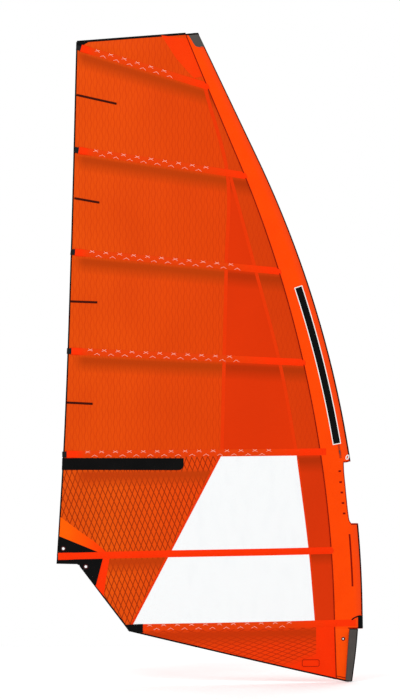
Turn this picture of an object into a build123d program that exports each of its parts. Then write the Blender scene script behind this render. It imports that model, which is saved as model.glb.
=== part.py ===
from build123d import *
import math
import os

# A windsurf race sail of about nine square metres, with its battens in, standing upright.
# The sail lies along XZ: head up (+Z), luff towards +X, leech towards -X, hollow side towards +Y.
# The origin is on the mast's axis, where the mast sleeve ends at the foot.  Millimetres.

os.makedirs("parts", exist_ok=True)

# Luff: a straight run, one long arc and a straight run up to the head
LUFF_FOOT_X = 33.0
LUFF_FOOT_LEAN = 0.0141
LUFF_ARC_START = 161.0
LUFF_RADIUS = 8554.0
LUFF_HEAD_LEAN = 0.4447
# Mast sleeve: its width from luff to seam, and the round nose that goes over the mast
SLEEVE_WIDTH = 230.0
SLEEVE_WIDEST_Z = 900.0
SLEEVE_TAPER = 8.9e-6
NOSE_AT_FOOT = 33.0
NOSE_AT_HEAD = 22.0
MAST_RADIUS = 24.0
# Leech and camber
LEECH_FOOT_X = -2398.0
LEECH_LEAN = 0.035
DRAFT = 0.035
DRAFT_Z = 1100.0
DRAFT_FADE = 1.2
SAIL_HEIGHT = 4700.0
FULLNESS = 6.75
# Cloth and film
CLOTH = 1.0
WINDOW_FILM = 0.5
PATCH = 4.0
# Battens, their pockets and the tensioners at the leech
POCKET_WIDTH = 54.0
POCKET_WALL = 1.4
BATTEN_WIDTH = 14.0
BATTEN_THICK = 6.0
BATTEN_PLAY = 0.6
HOUSING_WIDTH = 46.0
HOUSING_THICK = 14.0
HOUSING_END = 64.0
HOUSING_TAIL = 6.0
MOUTH_START = 30.0
SCREW_RADIUS = 3.0
RUNNING_FIT = 0.05
SCREW_HEAD_RADIUS = 5.0
SCREW_TIP = 50.0
HEX_KEY = 4.0
PUSHER_WIDTH = 12.0
PUSHER_THICK = 9.0
PUSHER_START = 36.0
PUSHER_END = 70.0
PUSHER_PLAY = 0.4
BATTEN_START = 70.4
# Boom opening in the sleeve
OPENING_TOP = 1310.0
OPENING_BOTTOM = 830.0
# Tack
FOOT_Z = -415.0
PULLEY_X = -75.0
PULLEY_Z = -400.0
SHEAVE_RADIUS = 10.0
SHEAVE_WIDTH = 9.0
SHEAVE_GAP = 0.5
PIN_RADIUS = 3.0
# Rings and socket
CLEW_RING_BORE = 10.5
TACK_RING_BORE = 6.0
SOCKET_BORE = 13.0
SOCKET_OUTER = 17.0
SOCKET_LENGTH = 90.0
SOCKET_DEPTH = 75.0

# Batten lines, head to foot: leech end, any bend, and luff end, as (x, z)
BATTENS = [
    [(-2222, 4592), (-1226, 4292)],
    [(-2241, 3780), (-930, 3581)],
    [(-2270, 2974), (-650, 2823)],
    [(-2299, 2191), (-440, 2101)],
    [(-2336, 1374), (-300, 1396)],
    [(-2377, 568), (-1482, 592), (-210, 618)],
    [(-1790, 7), (-190, 43)],
]
FIRST_CAM_BATTEN = 5
LAST_BATTEN = 7

DEEP = 400.0
SEAM_LOW, SEAM_HIGH = -480.0, 4760.0
FRONT_FAR, REAR_FAR = 400.0, -2700.0


def luff_x(z):
    """The front edge of the sleeve at a height."""
    arc_x = LUFF_FOOT_X - math.tan(LUFF_FOOT_LEAN) * LUFF_ARC_START
    centre_x = arc_x - LUFF_RADIUS * math.cos(LUFF_FOOT_LEAN)
    centre_z = LUFF_ARC_START - LUFF_RADIUS * math.sin(LUFF_FOOT_LEAN)
    arc_end = centre_z + LUFF_RADIUS * math.sin(LUFF_HEAD_LEAN)
    if z < LUFF_ARC_START:
        return LUFF_FOOT_X - math.tan(LUFF_FOOT_LEAN) * z
    if z < arc_end:
        return centre_x + math.sqrt(LUFF_RADIUS**2 - (z - centre_z) ** 2)
    end_x = centre_x + LUFF_RADIUS * math.cos(LUFF_HEAD_LEAN)
    return end_x - math.tan(LUFF_HEAD_LEAN) * (z - arc_end)


def seam_x(z):
    """The seam where the sleeve meets the body of the sail."""
    return luff_x(z) - SLEEVE_WIDTH + SLEEVE_TAPER * (z - SLEEVE_WIDEST_Z) ** 2


def nose_radius(z):
    return NOSE_AT_FOOT + (NOSE_AT_HEAD - NOSE_AT_FOOT) * (z / SAIL_HEIGHT) ** 2


def axis_x(z):
    """The mast's axis, one nose radius behind the luff."""
    return luff_x(z) - nose_radius(z)


def sail_y(x, z):
    """The middle of the cloth: a smooth camber, fullest a third of the way from mast to leech."""
    front = axis_x(z)
    chord = front - (LEECH_FOOT_X + LEECH_LEAN * z)
    along = (front - x) / chord
    draft = DRAFT * chord * (1 - DRAFT_FADE * ((z - DRAFT_Z) / SAIL_HEIGHT) ** 2)
    return -draft * FULLNESS * along * (1 - along) ** 2


def camber_face():
    """One smooth face through the camber, a little larger than the sail."""
    rows = []
    for j in range(15):
        z = -480 + j * 375
        front, back = axis_x(z), LEECH_FOOT_X + LEECH_LEAN * z
        row = []
        for i in range(9):
            x = front + 60 + (back - 60 - front - 60) * i / 8
            row.append(Vector(x, sail_y(x, z), z))
        rows.append(row)
    return Face.make_surface_from_array_of_points(rows, tol=0.05)


CAMBER = camber_face()


def layer(low, high):
    """All the space between two offsets from the camber, towards +Y."""
    return Solid.extrude(CAMBER.moved(Location((0, low, 0))), Vector(0, high - low, 0))


def block(edges):
    """A prism through the whole depth, from edges that close in the XZ plane."""
    face = Face(Wire(edges))
    return Solid.extrude(face.moved(Location((0, -DEEP / 2, 0))), Vector(0, DEEP, 0))


def polygon(points):
    """A prism through the whole depth, from corners (x, z)."""
    corners = [Vector(x, 0, z) for x, z in points]
    return block(Wire.make_polygon(corners, close=True).edges())


def seam_curve(steps=8):
    """The sleeve seam from below the foot to above the head."""
    heights = [SEAM_LOW + (SEAM_HIGH - SEAM_LOW) * i / steps for i in range(steps + 1)]
    return Spline(*[Vector(seam_x(z), 0, z) for z in heights])


def solids_of(shape):
    """Every solid in a shape or a list of shapes, without slivers."""
    found = []
    for item in shape if isinstance(shape, (list, tuple)) else [shape]:
        found += [s for s in item.solids() if s.volume > 20]
    return found


def save(name, shape):
    pieces = solids_of(shape)
    export_step(pieces[0] if len(pieces) == 1 else Compound(pieces), f"parts/{name}.step")


def minus(shape, *tools):
    for tool in tools:
        shape = shape - tool
    return shape


def batten_line(number):
    return BATTENS[number - 1]


def strip(points, width, start=0.0, end=0.0):
    """A prism of even width along a line of one or two runs, trimmed or run on at its ends."""
    pieces = []
    for i, ((x0, z0), (x1, z1)) in enumerate(zip(points, points[1:])):
        length = math.hypot(x1 - x0, z1 - z0)
        ux, uz = (x1 - x0) / length, (z1 - z0) / length
        near = start if i == 0 else 0.0
        far = length + (end if i == len(points) - 2 else 0.0)
        half = width / 2
        pieces.append(
            polygon(
                [
                    (x0 + ux * near - uz * half, z0 + uz * near + ux * half),
                    (x0 + ux * far - uz * half, z0 + uz * far + ux * half),
                    (x0 + ux * far + uz * half, z0 + uz * far - ux * half),
                    (x0 + ux * near + uz * half, z0 + uz * near - ux * half),
                ]
            )
        )
    return pieces[0] if len(pieces) == 1 else pieces[0] + pieces[1]


# Outlines in XZ ------------------------------------------------------------------------------

HEAD_LEECH = (-2225, 4633)
HEAD_LUFF = (-1284, 4703)
CLEW_TOP = (-2381, 510)
CLEW_SHELF = (-2225, 507)
CLEW_STEP = (-2201, 495)
FOOT_LEECH = (-1806, -21)
FOOT_LUFF = (-107, FOOT_Z)


def body_outline():
    """The sail behind the sleeve seam."""
    leech = Spline(
        *[Vector(x, 0, z) for x, z in [CLEW_TOP, (-2318, 1600), (-2268, 2993), HEAD_LEECH]]
    )
    seam = seam_curve()
    corners = [HEAD_LEECH, (seam_x(SEAM_HIGH), SEAM_HIGH)]
    head = Line(*[Vector(x, 0, z) for x, z in corners])
    foot_points = [(seam_x(SEAM_LOW), SEAM_LOW), FOOT_LEECH, CLEW_STEP, CLEW_SHELF, CLEW_TOP]
    foot = Polyline(*[Vector(x, 0, z) for x, z in foot_points])
    return block([head, *seam.edges(), *foot.edges(), *leech.edges()])


def trim_head_and_foot():
    """Half planes below the head edge and above the foot edge."""
    slope = (HEAD_LUFF[1] - HEAD_LEECH[1]) / (HEAD_LUFF[0] - HEAD_LEECH[0])
    foot = (FOOT_LUFF[1] - FOOT_LEECH[1]) / (FOOT_LUFF[0] - FOOT_LEECH[0])
    left, right = -2600, 200
    return polygon(
        [
            (left, HEAD_LEECH[1] + slope * (left - HEAD_LEECH[0])),
            (right, HEAD_LEECH[1] + slope * (right - HEAD_LEECH[0])),
            (right, FOOT_LEECH[1] + foot * (right - FOOT_LEECH[0])),
            (left, FOOT_LEECH[1] + foot * (left - FOOT_LEECH[0])),
        ]
    )


TRIM = trim_head_and_foot()
BODY = body_outline() & TRIM
POCKETS = [strip(line, POCKET_WIDTH, -60, 60) for line in BATTENS]


def between(upper, lower):
    """The body between two batten lines; 0 is the head and 8 is the foot."""
    left, right = -2700, 300
    top = [(left, 4900), (right, 4900)]
    base = [(right, -700), (left, -700)]
    if upper:
        line = batten_line(upper)
        top = [extended(line[0], line[1], left), *line[1:-1], extended(line[-1], line[-2], right)]
    if lower <= LAST_BATTEN:
        line = batten_line(lower)
        base = [extended(line[-1], line[-2], right), *line[1:-1][::-1], extended(line[0], line[1], left)]
    piece = BODY & polygon(top + base)
    tools = [POCKETS[n - 1] for n in (upper, lower) if 1 <= n <= LAST_BATTEN]
    return minus(piece, *tools)


def extended(a, b, x):
    """The point at x on the line through a and b."""
    return (x, a[1] + (b[1] - a[1]) * (x - a[0]) / (b[0] - a[0]))


def cut_by(edges_in, far_x):
    """A prism from a chain of points down to a far side: everything beyond a seam."""
    points = [Vector(x, 0, z) for x, z in edges_in]
    chain = Spline(*points) if len(points) > 2 else Line(*points)
    first, last = points[0], points[-1]
    back = Polyline(last, Vector(far_x, 0, last.Z), Vector(far_x, 0, first.Z), first)
    return block([*chain.edges(), *back.edges()])


UPRIGHT_SEAM = [(-1290, 4600), (-1205, 4240), (-1036, 3580), (-1045, 2900), (-1082, 1300)]
DIAGONAL_SEAM = [(-1032, 3640), (-811, 2816), (-617, 2065), (-478, 1300)]
WINDOW_REAR = [(-1068, 1410), (-1815, -20)]
WINDOW_FRONT = [(-497, 1410), (-398, 640), (-340, -20)]


def body_panels():
    """Scrim panels behind the upright seam, the strips in front of it, and the head."""
    behind = cut_by(UPRIGHT_SEAM, REAR_FAR)
    ahead = cut_by(UPRIGHT_SEAM, FRONT_FAR)
    behind_diagonal = cut_by(DIAGONAL_SEAM, REAR_FAR)
    ahead_diagonal = cut_by(DIAGONAL_SEAM, FRONT_FAR)
    cloth = layer(-CLOTH / 2, CLOTH / 2)
    save("body_panel_1", cloth & between(0, 1))
    mids, luffs = [], []
    for number in range(2, 6):
        whole = between(number - 1, number)
        save(f"body_panel_{number}", cloth & (whole & behind))
        strip_ahead = whole & ahead
        if number == 2:
            luffs.append(cloth & strip_ahead)
            continue
        mids.append(cloth & (strip_ahead & behind_diagonal))
        luffs.append(cloth & (strip_ahead & ahead_diagonal))
    save("mid_panels", mids)
    save("luff_panels", luffs)


def window_area():
    """Clear windows, the cloth in front of them, and the laminate towards the leech."""
    rear = cut_by(WINDOW_REAR, REAR_FAR)
    front = cut_by(WINDOW_FRONT, FRONT_FAR)
    cloth = layer(-CLOTH / 2, CLOTH / 2)
    film = layer(-WINDOW_FILM / 2, WINDOW_FILM / 2)
    upper, lower = between(5, 6), between(6, 7)
    patches = clew_patch_prisms()
    save("leech_panel_upper", cloth & minus(upper & rear, *patches))
    save("leech_panel_lower", cloth & minus(lower & rear, *patches))
    save("window_upper", film & minus(upper, rear, front))
    save("window_lower", film & minus(lower, rear, front))
    save("window_luff_panels", [cloth & (upper & front), cloth & (lower & front)])


TACK_SEAM_X = -337


def foot_area():
    """The laminate under the lowest batten, and the plain tack panel."""
    whole = between(7, 8)
    tack = polygon([(TACK_SEAM_X, 300), (400, 300), (400, -700), (TACK_SEAM_X, -700)])
    cloth = layer(-CLOTH / 2, CLOTH / 2)
    save("foot_panel", cloth & minus(whole, tack))
    save("tack_panel", cloth & (whole & tack))


def clew_patch_prisms():
    above = polygon([(-2420, 748), (-2046, 601), (-2046, 590), (-2420, 590)])
    under = polygon([(-2420, 556), (-2019, 556), (-2074, 344), (-2420, -72)])
    return [above, under]


def clew():
    """Black corner patches with two pressed rings."""
    thick = layer(-PATCH / 2, PATCH / 2)
    above, under = clew_patch_prisms()
    holes = [ring_hole(x, z, CLEW_RING_BORE) for x, z in CLEW_RINGS]
    pieces = [
        minus(thick & (between(5, 6) & above), *holes),
        minus(thick & (between(6, 7) & under), *holes),
    ]
    save("clew_patches", pieces)


CLEW_RINGS = [(-2333, 630), (-2155, 488)]
TACK_RING = (-123, -81)
RING_WALL = 2.5
RING_FLANGE = 9.0
RING_LIP = 2.0
RING_EASE = 0.2


def cloth_plane(x, z):
    """A frame on the cloth with z straight out of it, towards -Y."""
    step = 5.0
    slope_x = (sail_y(x + step, z) - sail_y(x - step, z)) / (2 * step)
    slope_z = (sail_y(x, z + step) - sail_y(x, z - step)) / (2 * step)
    return Plane(origin=(x, sail_y(x, z), z), x_dir=(1, slope_x, 0), z_dir=(slope_x, -1, slope_z))


def ring_hole(x, z, bore):
    outer = Solid.make_cylinder(bore + RING_WALL, 60).moved(Location((0, 0, -30)))
    return cloth_plane(x, z) * outer


def ring(x, z, bore, sheet):
    """A pressed eyelet: a tube through the cloth with a rounded lip on each side."""
    half = sheet / 2 + RING_EASE
    lip_top = half + RING_LIP
    wall = bore + RING_WALL
    tube = Solid.make_cylinder(wall, 2 * lip_top).moved(Location((0, 0, -lip_top)))
    lip = Solid.make_cylinder(bore + RING_FLANGE, RING_LIP)
    lip = lip.fillet(RING_LIP * 0.6, lip.edges().filter_by(GeomType.CIRCLE).group_by(Axis.Z)[-1])
    under = lip.mirror(Plane.XY).moved(Location((0, 0, -half)))
    body = tube + lip.moved(Location((0, 0, half))) + under
    body = body - Solid.make_cylinder(bore, DEEP).moved(Location((0, 0, -DEEP / 2)))
    return cloth_plane(x, z) * body


# Sleeve --------------------------------------------------------------------------------------


def sleeve_section(z, inset, run_on):
    """A level section of the sleeve: a round nose and two sides that close at the seam."""
    radius = nose_radius(z) - inset
    centre = luff_x(z) - nose_radius(z)
    rear = seam_x(z) - run_on
    rear_y = sail_y(rear, z)
    gap = CLOTH - inset * 0.7
    nose = ThreePointArc(
        Vector(centre, radius, z), Vector(centre + radius, 0, z), Vector(centre, -radius, z)
    )
    sides = Polyline(
        Vector(centre, -radius, z),
        Vector(rear, rear_y - gap, z),
        Vector(rear, rear_y + gap, z),
        Vector(centre, radius, z),
    )
    return Wire([*nose.edges(), *sides.edges()])


def sleeve_form(low, high, inset=0.0, run_on=12.0, steps=6):
    heights = [low + (high - low) * i / steps for i in range(steps + 1)]
    return Solid.make_loft([sleeve_section(z, inset, run_on) for z in heights])


def ahead_of_seam():
    """Everything in front of the sleeve seam."""
    rest = Polyline(
        Vector(seam_x(SEAM_HIGH), 0, SEAM_HIGH),
        Vector(FRONT_FAR, 0, SEAM_HIGH),
        Vector(FRONT_FAR, 0, SEAM_LOW),
        Vector(seam_x(SEAM_LOW), 0, SEAM_LOW),
    )
    return block([*seam_curve().edges(), *rest.edges()])


def sleeve_zone(low, high):
    """The space in front of the seam between two heights."""
    far = [(REAR_FAR, low), (FRONT_FAR, low), (FRONT_FAR, high), (REAR_FAR, high)]
    return ahead_of_seam() & polygon(far)


def batten_corridor(number):
    """The way that a batten takes through the sleeve seam."""
    half = BATTEN_THICK / 2 + BATTEN_PLAY
    width = BATTEN_WIDTH + 2 * BATTEN_PLAY
    return layer(-half, half) & strip(batten_line(number), width, BATTEN_START, 140)


SLEEVE_TOP = 4760.0
HEAD_PATCH = [(-1420, 4760), (-1346, 4690), (-1307, 4635), (-1267, 4589), (-1100, 4588), (-1100, 4760)]
CUFF = [(-52, 82), (60, 112), (60, 3), (-84, 3)]
LEATHER = 1.2


def upper_sleeve():
    low, high = OPENING_TOP, SLEEVE_TOP
    outer = sleeve_form(low, high)
    tube = outer - sleeve_form(low, high, CLOTH, -14)
    zone = sleeve_zone(low, high) & TRIM
    save("upper_sleeve", minus(tube & zone, batten_corridor(5)))
    skin = sleeve_form(low, high, -LEATHER) - outer
    save("head_patch", skin & (polygon(HEAD_PATCH) & zone))


def lower_sleeve():
    low, high = 0, OPENING_BOTTOM
    outer = sleeve_form(low, high, steps=3)
    tube = outer - sleeve_form(low, high, CLOTH, -14, 3)
    zone = sleeve_zone(low, high)
    save("lower_sleeve", minus(tube & zone, batten_corridor(6), batten_corridor(7)))
    skin = sleeve_form(low, high, -LEATHER, steps=3) - outer
    save("sleeve_cuff", skin & (polygon(CUFF) & zone))


def boom_opening_panel():
    """The double cloth left behind the opening for the boom clamp."""
    low, high = OPENING_BOTTOM, OPENING_TOP
    edge = [(REAR_FAR, high), (-119, high), (-110, 1180), (-76, 860), (-60, low), (REAR_FAR, low)]
    save("boom_opening_panel", layer(-CLOTH, CLOTH) & (ahead_of_seam() & polygon(edge)))


def sleeve_tongue():
    """The rear of the sleeve, which runs on below the mast opening down to the tack."""
    edge = [(REAR_FAR, 0), (-84, 0), (-106, -460), (REAR_FAR, -460)]
    outline = ahead_of_seam() & polygon(edge) & TRIM
    hole = ring_hole(*TACK_RING, TACK_RING_BORE)
    save("sleeve_tongue", minus(layer(-CLOTH, CLOTH) & outline, hole))


FAIRING_OUTER = 27.0
FAIRING_INNER = 17.0
FAIRING_Y = -16.0
FAIRING_BACK = 6.0
FAIRING_TOP = (-82.4, -2)
FAIRING_BASE = (-103, FOOT_Z + 3)


def tack_fairing():
    """A padded flap folded round the back of the tack pulley, open to the front."""
    top_x, top_z = FAIRING_TOP
    base_x, base_z = FAIRING_BASE
    lean = (base_x - top_x) / (base_z - top_z)
    side = [FAIRING_TOP, (-18, top_z), (-44, -250), (-56, base_z), FAIRING_BASE]
    behind = [(top_x + FAIRING_BACK + lean * (z - top_z), z) for z in (-500, 40)]
    inner = [*behind, (80, 40), (80, -500)]
    outer = polygon(side) & slice_y(FAIRING_Y - FAIRING_OUTER, FAIRING_Y + FAIRING_OUTER)
    hollow = polygon(inner) & slice_y(FAIRING_Y - FAIRING_INNER, FAIRING_Y + FAIRING_INNER)
    save("tack_fairing", outer - hollow)


def slice_y(low, high):
    """All the space between two depths."""
    return Solid.make_box(4000, high - low, 1200).moved(Location((-3000, low, -900)))


# Battens and tensioners ----------------------------------------------------------------------


def pocket(number):
    """A flat seam strip with a raised tube for the batten and a wide mouth for the tensioner."""
    line = batten_line(number)
    mouth = BATTEN_START + 2 if number == LAST_BATTEN else MOUTH_START
    strap = layer(-CLOTH, CLOTH) & strip(line, POCKET_WIDTH, mouth, 60)
    tube_half = BATTEN_THICK / 2 + BATTEN_PLAY + POCKET_WALL
    tube_width = BATTEN_WIDTH + 2 * (BATTEN_PLAY + POCKET_WALL)
    tube = layer(-tube_half, tube_half) & strip(line, tube_width, mouth, 60)
    cavity_half = BATTEN_THICK / 2 + BATTEN_PLAY
    cavity_width = BATTEN_WIDTH + 2 * BATTEN_PLAY
    cavity = layer(-cavity_half, cavity_half) & strip(line, cavity_width, -20, 80)
    shape = strap + tube
    if number != LAST_BATTEN:
        wide = HOUSING_WIDTH + 2 * BATTEN_PLAY
        deep = HOUSING_THICK / 2 + BATTEN_PLAY
        mouth_end = HOUSING_END + 16 - strip_length(line)
        outer = strip(line, POCKET_WIDTH, mouth, mouth_end + POCKET_WALL)
        shape = shape + (layer(-deep - POCKET_WALL, deep + POCKET_WALL) & outer)
        shape = shape - (layer(-deep, deep) & strip(line, wide, mouth - 5, mouth_end))
    shape = (shape - cavity) & BODY
    save(f"batten_pocket_{number}", shape)


def strip_length(line):
    (x0, z0), (x1, z1) = line[0], line[1]
    return math.hypot(x1 - x0, z1 - z0)


def batten(number):
    line = batten_line(number)
    run_on = -18
    if number >= FIRST_CAM_BATTEN:
        end_x, end_z = line[-1]
        run_on = end_x * -1 + axis_x(end_z) - CAM_SEAT
    outline = strip(line, BATTEN_WIDTH, BATTEN_START, run_on)
    save(f"batten_{number}", layer(-BATTEN_THICK / 2, BATTEN_THICK / 2) & outline)


def tensioner_plane(number):
    """A frame at the leech end of a batten: x along it towards the luff, z out of the cloth."""
    (x0, z0), (x1, z1) = batten_line(number)[:2]
    length = math.hypot(x1 - x0, z1 - z0)
    reach = BATTEN_START
    x2, z2 = x0 + (x1 - x0) * reach / length, z0 + (z1 - z0) * reach / length
    start = Vector(x0, sail_y(x0, z0), z0)
    along = Vector(x2, sail_y(x2, z2), z2) - start
    out = Vector(0, -1, 0)
    out = out - along * (out.dot(along) / along.dot(along))
    return Plane(origin=start, x_dir=along, z_dir=out)


def centred_box(start, end, width, thick):
    box = Solid.make_box(end - start, width, thick)
    return box.moved(Location((start, -width / 2, -thick / 2)))


def rod(start, end, radius):
    return Solid.make_cylinder(radius, end - start, Plane(origin=(start, 0, 0), z_dir=(1, 0, 0)))


def housing(number):
    """The moulded end cap: a slot for the pusher and a collar that holds the screw."""
    tail = 32.0 if number == LAST_BATTEN else HOUSING_TAIL
    body = centred_box(-tail, HOUSING_END, HOUSING_WIDTH, HOUSING_THICK)
    body = body.fillet(3.0, body.edges().filter_by(Axis.X))
    body = body.fillet(2.0, body.faces().sort_by(Axis.X)[0].edges())
    slot = centred_box(14, HOUSING_END + 5, PUSHER_WIDTH + 2 * PUSHER_PLAY, PUSHER_THICK + 2 * PUSHER_PLAY)
    bore = rod(-1, 20, SCREW_RADIUS + RUNNING_FIT)
    recess = rod(-tail - 5, 4, SCREW_HEAD_RADIUS + 1)
    return tensioner_plane(number) * minus(body, slot, bore, recess)


def tension_screw(number):
    """A captive screw with a hexagon socket, held by a collar behind the wall of its housing."""
    shaft = rod(-2, SCREW_TIP, SCREW_RADIUS)
    head = rod(-3, 3.6, SCREW_HEAD_RADIUS)
    collar = rod(14.4, 17, SCREW_RADIUS + 1.4)
    socket = extrude(Plane(origin=(-4, 0, 0), z_dir=(1, 0, 0)) * RegularPolygon(HEX_KEY / 2, 6, False), 4.5)
    return tensioner_plane(number) * minus(shaft + head + collar, socket)


def pusher(number):
    """The nut that slides in the housing and presses on the batten's end."""
    body = centred_box(PUSHER_START, PUSHER_END, PUSHER_WIDTH, PUSHER_THICK)
    bore = rod(PUSHER_START - 1, PUSHER_END - 7, SCREW_RADIUS + RUNNING_FIT)
    return tensioner_plane(number) * (body - bore)


def battens_and_tensioners():
    housings = []
    for number in range(1, LAST_BATTEN + 1):
        pocket(number)
        batten(number)
        housings.append(housing(number))
        save(f"tension_screw_{number}", tension_screw(number))
        save(f"batten_pusher_{number}", pusher(number))
    save("tensioner_housings", housings)


MINI_BATTENS = [
    [(-2228, 4214), (-1912, 4143)],
    [(-2246, 3398), (-2048, 3363)],
    [(-2279, 2583), (-2064, 2575)],
    [(-2308, 1784), (-2101, 1774)],
]
MINI_WIDTH = 14.0
MINI_THICK = 2.5


def mini_battens():
    """Short stiffeners in the leech, one between each pair of upper battens."""
    raised = layer(-CLOTH / 2 - MINI_THICK, -CLOTH / 2)
    save("mini_battens", [raised & strip(line, MINI_WIDTH) for line in MINI_BATTENS])


# Cams ----------------------------------------------------------------------------------------

CAM_SEAT = 66.0
CAM_HEIGHT = 56.0
CAM_FORK = 25.5
CAM_FORK_FRONT = 14.0
CAM_REAR = 96.0
CAM_PLAY = 1.0


def cam(number):
    """A fork that sits behind the mast, with a slot in its back for the batten's end."""
    line = batten_line(number)
    end_x, end_z = line[-1]
    (bend_x, bend_z) = line[-2]
    rise = (end_z - bend_z) / (end_x - bend_x)
    x = axis_x(end_z)
    z = end_z + rise * (x - end_x)
    rear = x - CAM_REAR
    rear_z = z - rise * CAM_REAR
    along = Vector(rear, sail_y(rear, rear_z), rear_z) - Vector(x, 0, z)
    upright = Vector(0, 0, 1)
    upright = upright - along * (upright.dot(along) / along.dot(along))
    place = Plane(origin=(x, 0, z), x_dir=along, z_dir=upright)
    corners = [
        (CAM_FORK_FRONT, CAM_FORK),
        (CAM_FORK_FRONT + 30, CAM_FORK - 6),
        (CAM_REAR, 8),
        (CAM_REAR, -8),
        (CAM_FORK_FRONT + 30, 6 - CAM_FORK),
        (CAM_FORK_FRONT, -CAM_FORK),
    ]
    body = extrude(make_face(Polyline(*corners, close=True)), CAM_HEIGHT / 2, both=True)
    mast = Solid.make_cylinder(MAST_RADIUS + CAM_PLAY, DEEP).moved(Location((0, 0, -DEEP / 2)))
    slot = Solid.make_box(60, BATTEN_THICK + 1.2, BATTEN_WIDTH + 1.2)
    slot = slot.moved(Location((CAM_SEAT - 4, -BATTEN_THICK / 2 - 0.6, -BATTEN_WIDTH / 2 - 0.6)))
    return place * minus(body, mast, slot)


def cams():
    save("cams", [cam(number) for number in range(FIRST_CAM_BATTEN, LAST_BATTEN + 1)])


# Tack pulley, rings, socket and zip ----------------------------------------------------------


def tack_pulley():
    """Three sheaves side by side on a pin, in a folded steel cage."""
    pitch = SHEAVE_WIDTH + SHEAVE_GAP
    half = 1.5 * pitch + SHEAVE_GAP / 2
    plate = 2.0
    place = Location((PULLEY_X, FAIRING_Y, PULLEY_Z))
    height = 30.0
    cage = Solid.make_box(2 * (half + plate), 22, height).moved(
        Location((-half - plate, -11, -14))
    )
    room = Solid.make_box(2 * half, 30, height).moved(Location((-half, -15, -14 - plate)))
    pin = rod(-half - plate - 2, half + plate + 2, PIN_RADIUS)
    strap = Solid.make_box(2 * half - 4, 30, 4).moved(Location((2 - half, -15, height - 14 - plate - 6)))
    bar = rod(-half - plate, half + plate, 2.5).moved(Location((0, 0, 14)))
    frame = (cage - room - strap - pin) + (bar - room)
    save("tack_pulley_frame", [frame.moved(place), pin.moved(place)])
    for i in range(3):
        start = -half + SHEAVE_GAP / 2 + i * pitch + SHEAVE_GAP / 2
        end = start + SHEAVE_WIDTH - SHEAVE_GAP / 2
        sheave = rod(start, end, SHEAVE_RADIUS) - rod(start - 1, end + 1, PIN_RADIUS + RUNNING_FIT)
        groove = Solid.make_torus(SHEAVE_RADIUS + 1.2, 3.4, Plane(origin=((start + end) / 2, 0, 0), z_dir=(1, 0, 0)))
        save(f"tack_sheave_{i + 1}", (sheave - groove).moved(place))


def rings():
    pieces = [ring(x, z, CLEW_RING_BORE, PATCH) for x, z in CLEW_RINGS]
    pieces.append(ring(*TACK_RING, TACK_RING_BORE, 2 * CLOTH))
    save("rings", pieces)


SOCKET_Z = 4600.0


def mast_tip_socket():
    """A cup in the head of the sleeve that the mast's tip pushes into."""
    lean = Vector(-math.sin(LUFF_HEAD_LEAN), 0, math.cos(LUFF_HEAD_LEAN))
    place = Plane(origin=(axis_x(SOCKET_Z), 0, SOCKET_Z), x_dir=(0, 1, 0), z_dir=lean)
    cup = Solid.make_cylinder(SOCKET_OUTER, SOCKET_LENGTH)
    cup = cup.fillet(5.0, cup.edges().filter_by(GeomType.CIRCLE).group_by(Axis.Z)[-1])
    hollow = Solid.make_cylinder(SOCKET_BORE, SOCKET_DEPTH + 5).moved(Location((0, 0, -5)))
    base = SOCKET_LENGTH * -0.5
    save("mast_tip_socket", place * (cup - hollow).moved(Location((0, 0, base))))


ZIP_Z = 1400.0
ZIP_BEHIND_AXIS = 42.0
ZIP_OFF = 1.0


def zip_slider():
    """The slider and puller of the short zip beside the uppermost cam."""
    x = axis_x(ZIP_Z) - ZIP_BEHIND_AXIS
    rear = seam_x(ZIP_Z)
    radius = nose_radius(ZIP_Z)
    share = ZIP_BEHIND_AXIS / (axis_x(ZIP_Z) - rear)
    skin_y = -radius + (sail_y(rear, ZIP_Z) - CLOTH + radius) * share
    rise = Vector(luff_x(ZIP_Z + 80) - luff_x(ZIP_Z - 80), 0, 160)
    place = Plane(origin=(x, skin_y - ZIP_OFF, ZIP_Z), x_dir=rise, z_dir=(0, -1, 0))
    body = Solid.make_box(13, 9, 4).moved(Location((-6.5, -4.5, 0)))
    body = body.fillet(1.2, body.edges().filter_by(Axis.Z))
    bridge = Solid.make_box(7, 2.4, 3).moved(Location((-3.5, -1.2, 3.5)))
    tab = Solid.make_box(26, 6, 1.6).moved(Location((-29, -3, 4.6)))
    hole = Solid.make_cylinder(1.6, 10).moved(Location((-25, 0, 0)))
    save("zip_slider", place * (body + bridge + tab - hole))


def main():
    body_panels()
    window_area()
    foot_area()
    clew()
    upper_sleeve()
    lower_sleeve()
    boom_opening_panel()
    sleeve_tongue()
    tack_fairing()
    battens_and_tensioners()
    mini_battens()
    cams()
    tack_pulley()
    rings()
    mast_tip_socket()
    zip_slider()


main()
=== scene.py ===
from math import acos, ceil, cos, dist, floor, hypot, pi, radians, sin, sqrt, tan

import bmesh
import bpy
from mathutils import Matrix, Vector, geometry, noise


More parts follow.
